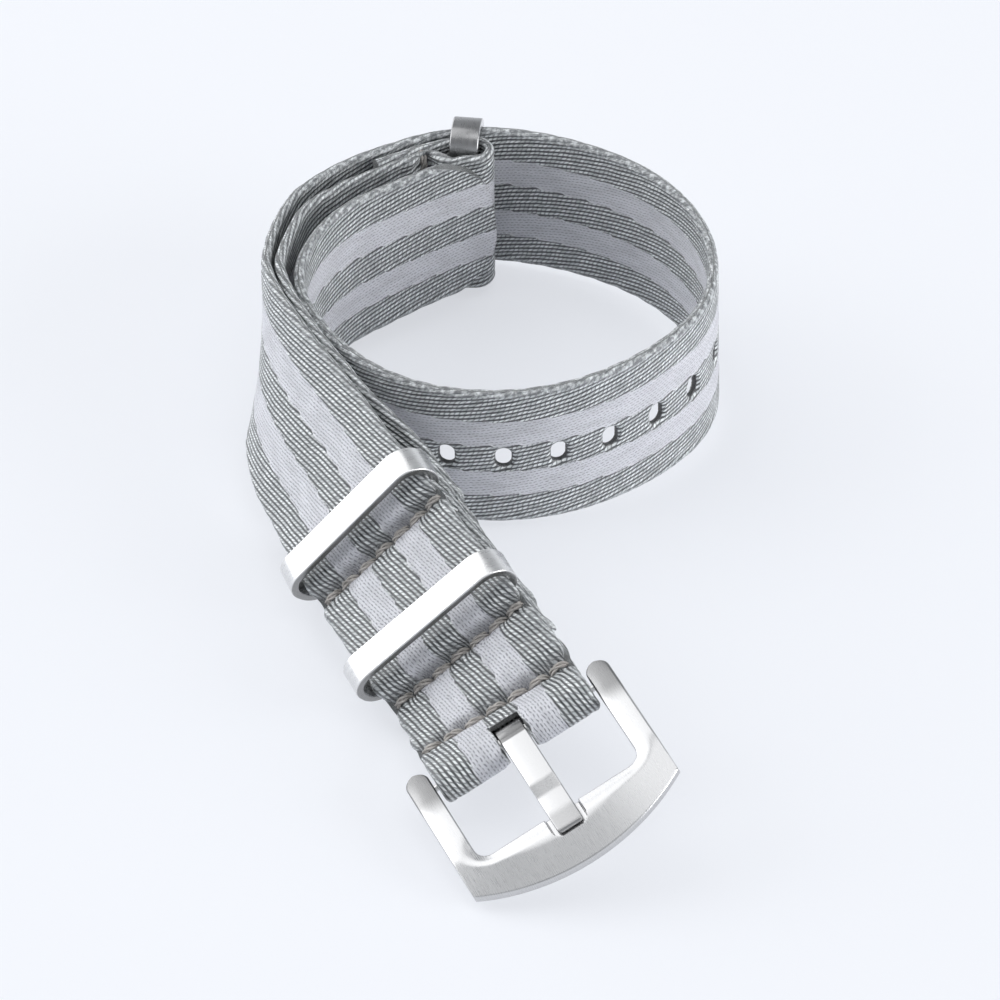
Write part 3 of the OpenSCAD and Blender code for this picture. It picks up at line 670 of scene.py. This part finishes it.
def webbing(name, route, rows, cuts, seed):
    """Sweeps the section along the route. rows is [(first and last index, station, side)].

    A cut is a function of all points. It gives which are cut away, how far those move across
    and along to the cut's edge, how near the edge each point is, and how far it is pressed out.
    """
    mids, across, s_way = (np.array([r[k] for r in route]) for k in range(3))
    n = len(route)
    length = path_length(mids)
    ahead = np.gradient(mids, length, axis=0)
    # Directions are smoothed a little along the way
    for _ in range(3):
        ahead[1:-1] = (ahead[:-2] + 2*ahead[1:-1] + ahead[2:])/4
    upward = np.cross(ahead, across)
    upward /= np.linalg.norm(upward, axis=1)[:, None]
    S = length[:, None]*np.ones(RING)
    U = np.ones((n, 1))*ring_lay
    u_real = np.ones((n, 1))*ring_u
    disp = relief(S, U, u_real, seed)
    # Painted shade at the sewn rows; the cuts add their heat-cut edges to it
    rim = sew_rows(rows, s_way, disp, U)
    co_u, co_s = u_real.copy(), np.zeros((n, RING))
    gone = np.zeros((n, RING), dtype=bool)
    for cut in cuts:
        inside, du, ds, near, press = cut(u_real, S, s_way, length)
        gone |= inside
        co_u += np.where(inside, du, 0)
        co_s += np.where(inside, ds, 0)
        rim = np.maximum(rim, near)
        disp += press
    pts = (mids[:, None, :] + across[:, None, :]*(co_u + ring_nu*disp)[..., None]
           + upward[:, None, :]*(ring_h + ring_nh*disp)[..., None]
           + ahead[:, None, :]*co_s[..., None]).reshape(-1, 3)
    quads = quad_corners(np.arange(n*RING).reshape(n, RING))
    keep = quads[~quad_corners(gone).all(axis=-1)]
    walls, tris = side_walls(keep, n*RING)
    used = np.zeros(n*RING, dtype=bool)
    used[keep.ravel()] = True
    corners = np.concatenate([keep.ravel(), walls.ravel(), tris.ravel()])
    corners = (np.cumsum(used) - 1)[corners].astype(np.int32)
    sizes = np.repeat([4, 3], [len(keep) + len(walls), len(tris)]).astype(np.int32)
    uvs = np.stack([U.ravel() + 10, S.ravel()], axis=1)
    ob = mesh_object(name, (pts[used]*MM).astype(np.float32), corners, sizes, uvs[used], sharp=62)
    attribute(ob.data, "rim", rim.ravel()[used])
    attribute(ob.data, "side", (np.ones((n, 1))*-side_sign).ravel()[used])
    ob.data.validate()
    ob.data.materials.append(webbing_mat)
    return ob, dict(mids=mids, across=across, upward=upward, ahead=ahead, s=s_way)


def towards_edge(inside, x, y, d, r):
    """Moves the cut points, d from the cut's middle line, out or in to the radius r."""
    safe = np.maximum(d, 1e-3)
    return np.where(inside, y/safe*(r - d), 0), np.where(inside, x/safe*(r - d), 0)


def oval_cut(centre, first):
    """Adjustment hole at the station centre, on the layer from route index first on."""
    r, flat = HOLE_LONG/2 - 0.10, (HOLE_WIDE - HOLE_LONG)/2

    def cut(u, S, s_way, length):
        index = np.arange(len(s_way))
        k = np.argmin(np.abs(s_way - centre) + 1e6*(index < first))
        x = S - length[k]
        y = np.sign(u)*np.maximum(np.abs(u) - flat, 0)
        d = np.sqrt(x*x + y*y)
        close = (np.abs(x) < 2.2) & (np.abs(u) < 3.4) & (index[:, None] >= first)
        inside = close & (d < r)
        near = np.where(close, np.clip(1 - (d - r)/0.15, 0, 1), 0)
        pressed = np.where(close, np.clip(1 - (d - r)/0.5, 0, 1), 0)**1.5
        return (inside, *towards_edge(inside, x, y, d, r), near, -0.36*pressed)
    return cut


def slot_cut(lo, hi, half):
    """Straight slot for the tongue, between two places along the route."""
    def cut(u, S, s_way, length):
        inside = (np.abs(u) < half + 0.01) & (S > lo) & (S < hi)
        near = np.where((S > lo - 0.4) & (S < hi + 0.4),
                        np.clip(1 - np.abs(np.abs(u) - half)/0.2, 0, 1)*(np.abs(u) < half + 0.3), 0)
        near = np.where(inside, 1, near)
        side = np.where(np.abs(u) > half - 0.2, np.sign(u)*half - u, 0)
        away = np.hypot(np.maximum(np.abs(u) - half, 0), np.maximum(np.maximum(lo - S, S - hi), 0))
        pressed = np.clip(1 - away/1.0, 0, 1)**1.5
        return inside, side, np.zeros_like(u), near*0.28, -0.30*pressed
    return cut


def tip_cut(end_length):
    """Round corners of the heat-cut tip."""
    def cut(u, S, s_way, length):
        x = S - (end_length - TIP_R)
        y = np.sign(u)*np.maximum(np.abs(u) - (WEB_W/2 - TIP_R), 0)
        d = np.sqrt(np.maximum(x, 0)**2 + y*y)
        inside = (x > 0) & (d > TIP_R)
        near = np.where((x > 0), np.clip(1 - np.abs(d - TIP_R)/0.25, 0, 1), 0)*0.5
        return (inside, *towards_edge(inside, x, y, d, TIP_R), near, 0.05*near)
    return cut


SLOT_REACH, SLOT_HALF = 2.25, 1.78
# Stations either side of the bar that the slot may take, and those before any hole
NEAR_BAR, BEFORE_HOLES = 20, 100


def build_main():
    leaf = run(LOOP_ROW - 1.8, LOOP_TURN - 0.3, OUTER, LAYER)
    fold = half_turn(LOOP_TURN, LOOP_BAR_OFF, POCKET/2, -90, 90, 16)
    back = run(LOOP_TURN - 0.3, 0.5, FOLD)
    bar = half_turn(0, LAYER/2, FOLD_R, 90, 270, 20)
    # Finer stations where the holes are
    holes_end = STRAP_END - TIP_TO_HOLE + 2
    holes_start = holes_end - (HOLE_COUNT - 1)*HOLE_PITCH - 4
    outer = (run(0.5, holes_start, OUTER) + run(holes_start, holes_end, OUTER, step=0.15)[1:]
             + run(holes_end, STRAP_END, OUTER)[1:])
    route = leaf + fold + back + bar + outer
    mids = np.array([r[0] for r in route])
    length = path_length(mids)
    i_back = len(leaf) + len(fold)
    i_bar = i_back + len(back)
    i_out = i_bar + len(bar)
    # The slot goes round the bar, and as far along the strap over and under it
    p0, t0 = frame_at(0)[:2]
    x = (mids - p0) @ t0
    zone = [i for i in range(i_bar - NEAR_BAR, i_out + NEAR_BAR) if x[i] < SLOT_REACH]
    cuts = [slot_cut(length[zone[0]], length[zone[-1]], SLOT_HALF), tip_cut(length[-1])]
    for i in range(HOLE_COUNT):
        cuts.append(oval_cut(STRAP_END - TIP_TO_HOLE - i*HOLE_PITCH, i_out + BEFORE_HOLES))
    out_part, back_part = (i_out, len(route)), (i_back, i_bar)
    rows = [(out_part, FOLD_ROW, -1), (out_part, NEAR_ROW, -1), (out_part, LOOP_ROW, -1),
            (back_part, FOLD_ROW, -1)]
    ob, data = webbing("long_webbing", route, rows, cuts, 0.0)
    return ob, data, out_part, back_part


def build_short():
    way = run(SHORT_START, END_TURN - 0.3, SHORT)
    fold = half_turn(END_TURN, END_BAR_OFF, END_POCKET/2, 90, -90, 20)
    leaf = run(END_TURN - 0.3, END_LEAF, END)
    route = way + fold + leaf
    way_part, end_part = (0, len(way)), (len(way) + len(fold), len(route))
    rows = [(way_part, r, 1) for r in (NEAR_ROW, LOOP_ROW, END_ROW)]
    ob, data = webbing("short_webbing", route, rows, [], 2.6)
    return ob, data, way_part, end_part


long_ob, long_data, out_part, back_part = build_main()
short_ob, short_data, way_part, end_part = build_short()
for ob, node in ((long_ob, "main_strap"), (short_ob, "short_strap")):
    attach(ob, "strap")
    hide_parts(node)


# Twisted sewing thread over the rows, dipping into the needle holes
STEPS, PLIES, AROUND, TWIST = 26, 3, 8, 0.7
PLY_R, PLY_RISE, PLY_SPREAD = 0.19, 0.11, 0.28
# Faces that close a ply's end, as points round it
CAP = ((3, 2, 1, 0), (7, 6, 5, 4), (4, 3, 0, 7))


def stitch_line(data, k, side, c):
    """Middle line of stitch c at route index k, with two directions square to it."""
    mid, ac, upw, ah = (data[x][k] for x in ("mids", "across", "upward", "ahead"))
    t = np.linspace(0, 1, STEPS + 1)
    u = NEEDLES[c] + STITCH_PITCH*(0.05 + 0.90*t)
    dip = sewn_dip(np.zeros_like(u), u)
    arch = np.sin(math.pi*t)
    lift = EDGE_R - dip + 0.22 + 0.04*arch - 0.50*(1 - arch**0.30)
    line = (mid + ac*u[:, None] + upw*(side*lift)[:, None]
            + ah*(0.07*np.sin(2.1*c + 1.0) + 0.05*np.sin(math.pi*t + c))[:, None])
    tang = np.gradient(line, axis=0)
    tang /= np.linalg.norm(tang, axis=1)[:, None]
    e1 = upw - tang*(tang @ upw)[:, None]
    e1 /= np.linalg.norm(e1, axis=1)[:, None]
    return t, line, e1, np.cross(tang, e1)


def ply_faces(base):
    faces = []
    for m in range(STEPS):
        for q in range(AROUND):
            a, b, r = base + m*AROUND, base + (m + 1)*AROUND, (q + 1) % AROUND
            faces.append((a + q, a + r, b + r, b + q))
    last = base + STEPS*AROUND
    faces += [tuple(base + i for i in cap) for cap in CAP]
    faces += [tuple(last + i for i in cap[::-1]) for cap in CAP]
    return faces


def thread_row(name, node, sides):
    pts, faces, uvs = [], [], []
    for data, (a, b), row_s, side in sides:
        k = a + int(np.argmin(np.abs(data["s"][a:b] - row_s)))
        for c in range(STITCHES):
            t, line, e1, e2 = stitch_line(data, k, side, c)
            size = PLY_R*np.minimum(1, 0.6 + 3.0*np.minimum(t, 1 - t))
            for p in range(PLIES):
                g = 2*math.pi*(p/PLIES + TWIST*t) + c
                core = (line + e1*(PLY_RISE*np.cos(g))[:, None]
                        + e2*(PLY_SPREAD*np.sin(g))[:, None])
                faces += ply_faces(len(pts))
                for m in range(STEPS + 1):
                    for q in range(AROUND):
                        h = 2*math.pi*q/AROUND
                        pts.append(core[m] + size[m]*(e1[m]*math.cos(h) + e2[m]*math.sin(h)))
                        uvs.append((q*0.3, t[m]*2.6 + c))
    ob = make(name, pts, faces, uvs)
    ob.data.materials.append(thread_mat)
    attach(ob, "strap")
    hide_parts(node)


thread_row("thread_at_fold", "fold_stitching",
           [(long_data, out_part, FOLD_ROW, -1), (long_data, back_part, FOLD_ROW, -1)])
thread_row("thread_near_buckle", "keeper_stitching_near_buckle",
           [(long_data, out_part, NEAR_ROW, -1), (short_data, way_part, NEAR_ROW, 1)])
thread_row("thread_near_loop", "keeper_stitching_near_loop",
           [(long_data, out_part, LOOP_ROW, -1), (short_data, way_part, LOOP_ROW, 1)])
thread_row("thread_at_end_ring", "end_ring_stitching",
           [(short_data, way_part, END_ROW, 1), (short_data, end_part, END_ROW, 1)])


# Flat steel bands bent to rings, with soft edges
BAND_SOFT, BAND_STEPS = 0.2, 5
OUTER_R = RING_R + BAND_T


def corner_arcs(places, r, n):
    """Quarter turns round four places (x, y, first angle), one after the other."""
    turns = [(x, y, math.radians(a + 90*k/n)) for x, y, a in places for k in range(n + 1)]
    return [(x + r*math.cos(g), y + r*math.sin(g)) for x, y, g in turns]


def rounded(w, h, r, n=14):
    """Rounded rectangle, its long sides split into short steps."""
    out = corner_arcs(((w/2 - r, h/2 - r, 0), (-w/2 + r, h/2 - r, 90), (-w/2 + r, -h/2 + r, 180),
                       (w/2 - r, -h/2 + r, 270)), r, n)
    full = []
    for p, q in zip(out, out[1:] + out[:1]):
        full.append(p)
        d = math.dist(p, q)
        if d > 1.5:
            m = int(d/0.6)
            full += [(p[0] + (q[0] - p[0])*i/m, p[1] + (q[1] - p[1])*i/m) for i in range(1, m)]
    return full


def inner_outline(outer):
    """The inner outline, at the same turns as the outer one."""
    cx, cy = (RING_W + 2*BAND_T)/2 - OUTER_R, (RING_H + 2*BAND_T)/2 - OUTER_R
    inner = []
    for x, y in outer:
        px, py = max(-1, min(1, x/cx)), max(-1, min(1, y/cy))
        dx, dy = (x - cx*px)/OUTER_R, (y - cy*py)/OUTER_R
        inner.append(((RING_W/2 - RING_R)*px + RING_R*dx, (RING_H/2 - RING_R)*py + RING_R*dy))
    return inner


def ring_mesh(name, matrix, mat):
    outer = rounded(RING_W + 2*BAND_T, RING_H + 2*BAND_T, OUTER_R)
    inner, outer = np.array(inner_outline(outer)), np.array(outer)
    r = BAND_SOFT
    # Section: place along the band's width, outer or inner side, and height of the soft edge
    sec, edge = [], []
    for x, side, a in ((BAND_W/2 - r, 1, 0), (-BAND_W/2 + r, 1, 90), (-BAND_W/2 + r, 0, 180),
                       (BAND_W/2 - r, 0, 270)):
        for i in range(BAND_STEPS + 1):
            g = math.radians(a + 90*i/BAND_STEPS)
            sec.append((x + r*math.cos(g), side, r*math.sin(g)))
            edge.append(abs(math.cos(g)))
    pts, uvs = [], []
    for o, q, way in zip(outer, inner, path_length(outer)):
        thick = np.linalg.norm(o - q)
        d = (o - q)/thick
        for x, side, off in sec:
            y, z = q + d*(thick - r if side else r) + d*off
            pts.append((x, y, z))
            uvs.append((x + (0.4 if side else 4.5), way))
    n, m = len(outer), len(sec)
    quads = [(((i + 1) % n)*m + j, ((i + 1) % n)*m + (j + 1) % m, i*m + (j + 1) % m, i*m + j)
             for i in range(n) for j in range(m)]
    ob = make(name, placed(matrix @ shifted(0, 0, BAND_T/2 + RING_H/2), pts), quads, uvs, sharp=50)
    attribute(ob.data, "edge", edge*n)
    ob.data.materials.append(mat)
    return ob


near_place = on_strap(NEAR_KEEPER, KEEPER_BAR_OFF) @ shifted(0, RING_SHIFT, 0)
loop_place = on_strap(LOOP_KEEPER, LOOP_BAR_OFF) @ shifted(0, RING_SHIFT, 0)
end_place = on_strap(END_BAR, END_BAR_OFF) @ shifted(0, -RING_SHIFT, 0)
for name, node, m, mat in (
        ("band_near_buckle", "keeper_near_buckle", near_place @ turned("z", -0.8*SLANT), satin_mat),
        ("band_near_loop", "keeper_near_loop", loop_place @ turned("z", -1.2*SLANT), satin_mat),
        ("band_at_end", "end_ring", end_place @ turned("y", END_TILT), painted_dark_ring_mat)):
    ob = ring_mesh(name, m, mat)
    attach(ob, node)
    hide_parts(node)

# Buckle frame: x across, y away from the spring bar, z up from the bar's middle
BUCKLE = on_strap(0, LAYER/2) @ turned("y", -DROOP) @ turned("z", 90)
LUG_IN, LUG_OUT = WEB_W/2 + 0.4, WEB_W/2 + 3.2
LUG_MID, LUG_HALF, LUG_Y = 11.8, 1.4, -1.2
END_W, BOW, FRAME_T = 3.2, 3.8, 2.4
FRONT_R = (LUG_OUT**2 + BOW**2)/(2*BOW)
FRONT_Y = WINDOW_L + END_W + BOW - FRONT_R
WINDOW_R, CORNER_Y, SIDE_Y = 1.6, 10.1, 12.2
SEAT_HALF, SEAT_Y, SEAT_R, SEAT_Z = 1.1, 13.9, 1.0, 0.2
LOW_SOFT, IN_SOFT, OUT_SOFT, N_TOP = 0.22, 0.20, 0.26, 96


def soft_min(a, b, k):
    h = np.clip(0.5 + 0.5*(b - a)/k, 0, 1)
    return b*(1 - h) + a*h - k*h*(1 - h)


def eased_step(v, lo, hi):
    k = np.clip((v - lo)/(hi - lo), 0, 1)
    return k*k*(3 - 2*k)


def beyond(x, y, x0, y0):
    """Distance past the corner x0, y0, on either side of the middle."""
    return np.hypot(np.maximum(np.abs(x) - x0, 0), np.maximum(y - y0, 0))


def buckle_top(x, y):
    """Height of the frame's face: soft arms, a fall to the bowed edge, a slope to the window."""
    arm = (1.2 - 0.14*((np.abs(x) - LUG_MID)/LUG_HALF)**2*(1 - eased_step(y, 8, 12))
           - 0.022*np.maximum(0, 2.4 - y)**2)
    fall = 1.16 - (np.hypot(x, y - FRONT_Y) - (FRONT_R - 4.3))*0.31
    away = beyond(x, y, LUG_IN - WINDOW_R, WINDOW_L - WINDOW_R) - WINDOW_R
    rise = 0.56 + away*0.36 + 1.0*(1 - eased_step(y, 5.5, 11.6))
    z = soft_min(soft_min(arm, fall, 0.25), rise, 0.30)
    off_seat = beyond(x, y, SEAT_HALF, SEAT_Y) - SEAT_R
    return SEAT_Z + (z - SEAT_Z)*eased_step(off_seat, -0.05, 0.15)


def on_bow(x):
    return FRONT_Y + math.sqrt(FRONT_R**2 - x*x)


def buckle_outline():
    """Inner and outer edge of the frame, from the right lug round the bow to the left lug."""
    inner, outer = [], []
    for g in np.linspace(85, 0, 14):
        c, d = LUG_HALF*math.cos(math.radians(g)), LUG_HALF*math.sin(math.radians(g))
        inner.append((LUG_MID - c, LUG_Y - d))
        outer.append((LUG_MID + c, LUG_Y - d))
    for k in range(1, 25):
        inner.append((LUG_IN, LUG_Y + (CORNER_Y - LUG_Y)*k/24))
        outer.append((LUG_OUT, LUG_Y + (SIDE_Y - LUG_Y)*k/24))
    for k in range(1, 15):
        g = math.radians(90*k/14)
        inner.append((LUG_IN - WINDOW_R + WINDOW_R*math.cos(g), CORNER_Y + WINDOW_R*math.sin(g)))
    outer += [(LUG_OUT, SIDE_Y + (on_bow(LUG_OUT) - SIDE_Y)*k/7) for k in range(1, 8)]
    outer += [(LUG_OUT - k*0.40, on_bow(LUG_OUT - k*0.40)) for k in range(1, 8)]
    # Fine steps near the middle, where the seat is
    fine, x_in, x_out = 2.5, LUG_IN - WINDOW_R, LUG_OUT - 7*0.40
    for x in [*np.linspace(x_in, fine, 30)[1:], *np.arange(2.45, 0, -0.06), 0]:
        f = (x_in - x)/(x_in - fine)
        ox = x_out + (fine - x_out)*f if f < 1 else x
        inner.append((x, WINDOW_L))
        outer.append((ox, on_bow(ox)))
    return [np.array(line + [(-x, y) for x, y in line[-2::-1]]) for line in (inner, outer)]


def soft_edge(degrees, r, x, z, dx, dz):
    """Rounded edge at a corner x, z of the section."""
    turns = [math.radians(q) for q in degrees]
    return [(x + dx*r*(1 - math.cos(g)), z + dz*r*(1 - math.sin(g))) for g in turns]


def buckle_mesh():
    inner, outer = buckle_outline()
    pts, uvs = [], []
    low = -FRAME_T/2
    for a, b, span in zip(inner, outer, np.linalg.norm(outer - inner, axis=1)):
        d = (b - a)/span
        soft = min(OUT_SOFT, span*0.3)
        section = soft_edge((90, 60, 30, 0), LOW_SOFT, 0, low, 1, 1)
        section += soft_edge((0, 30, 60), IN_SOFT, 0, buckle_top(*(a + d*IN_SOFT)), 1, -1)
        section += [(off, buckle_top(*(a + d*off)))
                    for off in np.linspace(IN_SOFT, span - soft, N_TOP)]
        section += soft_edge((60, 30, 0), soft, span, buckle_top(*(b - d*soft)), -1, -1)
        section += soft_edge((0, 30, 60, 90), LOW_SOFT, span, low, -1, 1)
        for off, z in section:
            x, y = a + d*off
            pts.append((x, y, z))
            uvs.append((x + MAP_SHIFT, y + MAP_SHIFT))
    n, m = len(inner), len(section)
    quads = [(i*m + j, (i + 1)*m + j, (i + 1)*m + (j + 1) % m, i*m + (j + 1) % m)
             for i in range(n - 1) for j in range(m)]
    quads += [tuple(range(m)), tuple(range(n*m - 1, n*m - m - 1, -1))]
    return placed(BUCKLE, pts), quads, uvs


# Tongue: places along, with the height of its top and its underside there
TONGUE_KEYS = [(-1.15, 1.22, 0.98), (-1.0, 1.33, 1.0), (0.1, 1.58, 1.06), (0.45, 1.66, 1.02),
               (0.9, 1.68, 0.85), (1.2, 1.69, 0.6), (1.9, 1.70, 0.6), (7.4, 1.70, 0.6),
               (7.6, 1.68, 0.58), (9.3, 1.20, 0.36), (9.5, 1.17, 0.35), (11.5, 1.17, 0.35),
               (11.8, 1.14, 0.35), (13.9, 0.88, 0.35), (14.15, 0.82, 0.37), (14.32, 0.70, 0.42),
               (14.4, 0.56, 0.50)]
NOSE_Y, TONGUE_SOFT, TURNS = 13.9, 0.16, 56
KNUCKLE_IN, KNUCKLE_OUT, HALF_W = TONGUE_BORE/2, TONGUE_BORE/2 + 0.75, TONGUE_W/2


def tongue_mesh():
    """Flat pin with a short bevel at the knuckle, a step down and a soft nose."""
    pts = []
    places, tops, lows = zip(*TONGUE_KEYS)
    ys = sorted(set([*places, *np.arange(-0.9, 14.2, 0.25)]))
    for y, hi, lo in zip(ys, np.interp(ys, places, tops), np.interp(ys, places, lows)):
        w = HALF_W - 0.35*max(0, (y - NOSE_Y)/0.5)**2
        r = min(TONGUE_SOFT, (hi - lo)*0.45)
        section = corner_arcs(((w - r, hi - r, 0), (-w + r, hi - r, 90), (-w + r, lo + r, 180),
                               (w - r, lo + r, 270)), r, 4)
        pts += [(x, y, z) for x, z in section]
    m, n = len(section), len(ys)
    quads = [(i*m + j, i*m + (j + 1) % m, (i + 1)*m + (j + 1) % m, (i + 1)*m + j)
             for i in range(n - 1) for j in range(m)]
    quads += [tuple(range(m - 1, -1, -1)), tuple(range((n - 1)*m, n*m))]
    # Knuckle round the bar
    ri, ro, h = KNUCKLE_IN, KNUCKLE_OUT, HALF_W
    section = [(-h + 0.12, ri), (h - 0.12, ri), (h, ri + 0.1), (h, ro - 0.16),
               (h - 0.05, ro - 0.05), (h - 0.16, ro), (-h + 0.16, ro), (-h + 0.05, ro - 0.05),
               (-h, ro - 0.16), (-h, ri + 0.1)]
    base, c = len(pts), len(section)
    for i in range(TURNS):
        g = 2*math.pi*i/TURNS
        pts += [(x, rad*math.cos(g), rad*math.sin(g)) for x, rad in section]
    for i in range(TURNS):
        a, b = base + i*c, base + (i + 1) % TURNS*c
        quads += [(a + j, a + (j + 1) % c, b + (j + 1) % c, b + j) for j in range(c)]
    return placed(BUCKLE, pts), quads, [(x + MAP_SHIFT, y + MAP_SHIFT) for x, y, z in pts]


for name, node, body, build, mat in (
        ("buckle_body", "buckle_frame", "buckle", buckle_mesh, buckle_mat),
        ("buckle_tongue", "tongue", "tongue", tongue_mesh, tongue_mat)):
    ob = make(name, *build(), sharp=40)
    ob.data.materials.append(mat)
    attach(ob, body)
    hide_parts(node)
for node in ("spring_bar_tube", "plunger_left", "plunger_right", "spring_bar_spring"):
    for k in range(max(1, len(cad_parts[node].material_slots))):
        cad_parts[node].material_slots[k].material = inner_mat


# Pale floor that also shows by its own light to the camera, and keeps the object's shadow
def floor_material():
    n = Nodes(bpy.data.materials.new("pale_floor"))
    co = n.add("ShaderNodeTexCoord").outputs["Object"]
    pale = n.mix(n.noise(co, 9.0), (0.868, 0.890, 0.940), (0.884, 0.905, 0.952))
    n.put(n.shader.inputs["Base Color"], pale)
    n.shader.inputs["Roughness"].default_value = 0.6
    n.shader.inputs["Specular IOR Level"].default_value = 0.2
    glow = n.add("ShaderNodeEmission")
    n.put(glow.inputs["Color"], pale)
    blend = n.fill("ShaderNodeMixShader", (n.mul(n.seen(), 0.66), n.shader.outputs[0],
                                           glow.outputs[0]))
    n.put(n.tree.nodes["Material Output"].inputs["Surface"], blend)
    return n.owner


bpy.ops.mesh.primitive_plane_add(size=6, location=(0, 0, 0))
floor = bpy.context.object
floor.name = "floor"
floor.data.materials.append(floor_material())


# Soft studio light: five boxes round the strap, and a pale room
def softbox(name, place, aim, size, power):
    data = bpy.data.lights.new(name, "AREA")
    data.shape = "RECTANGLE"
    data.size, data.size_y = size
    data.energy = power
    ob = bpy.data.objects.new(name, data)
    ob.location = place
    ob.rotation_euler = (Vector(aim) - Vector(place)).to_track_quat("-Z", "Y").to_euler()
    bpy.context.scene.collection.objects.link(ob)


softbox("back", (-0.62, 1.05, 0.30), (0, 0, 0), (0.9, 0.5), 2.6)
softbox("top", (-0.66, 0.30, 0.97), (0, 0, 0), (1.2, 1.2), 5.6)
softbox("over", (0.30, -0.20, 1.5), (0, 0, 0), (0.9, 0.9), 3.6)
softbox("left", (-1.05, 0.12, 0.50), (0, 0, 0.01), (0.9, 0.9), 5.2)
softbox("right", (1.12, -0.34, 0.42), (0.01, 0.02, 0.01), (0.8, 0.7), 10.5)
room = Nodes(bpy.data.worlds.new("room"), "Background")
bpy.context.scene.world = room.owner
# Shown pale near the horizon and greyer overhead, and of one level as a light
way_up = room.split(room.add("ShaderNodeTexCoord").outputs["Generated"])[2]
shown = room.smooth(way_up, 0.15, 0.75, 0.95, 0.44)
room.shader.inputs["Color"].default_value = (0.93, 0.96, 1.0, 1)
room.put(room.shader.inputs["Strength"], room.mixf(room.seen(), 0.40, shown))
bpy.context.scene.view_settings.view_transform = "Standard"
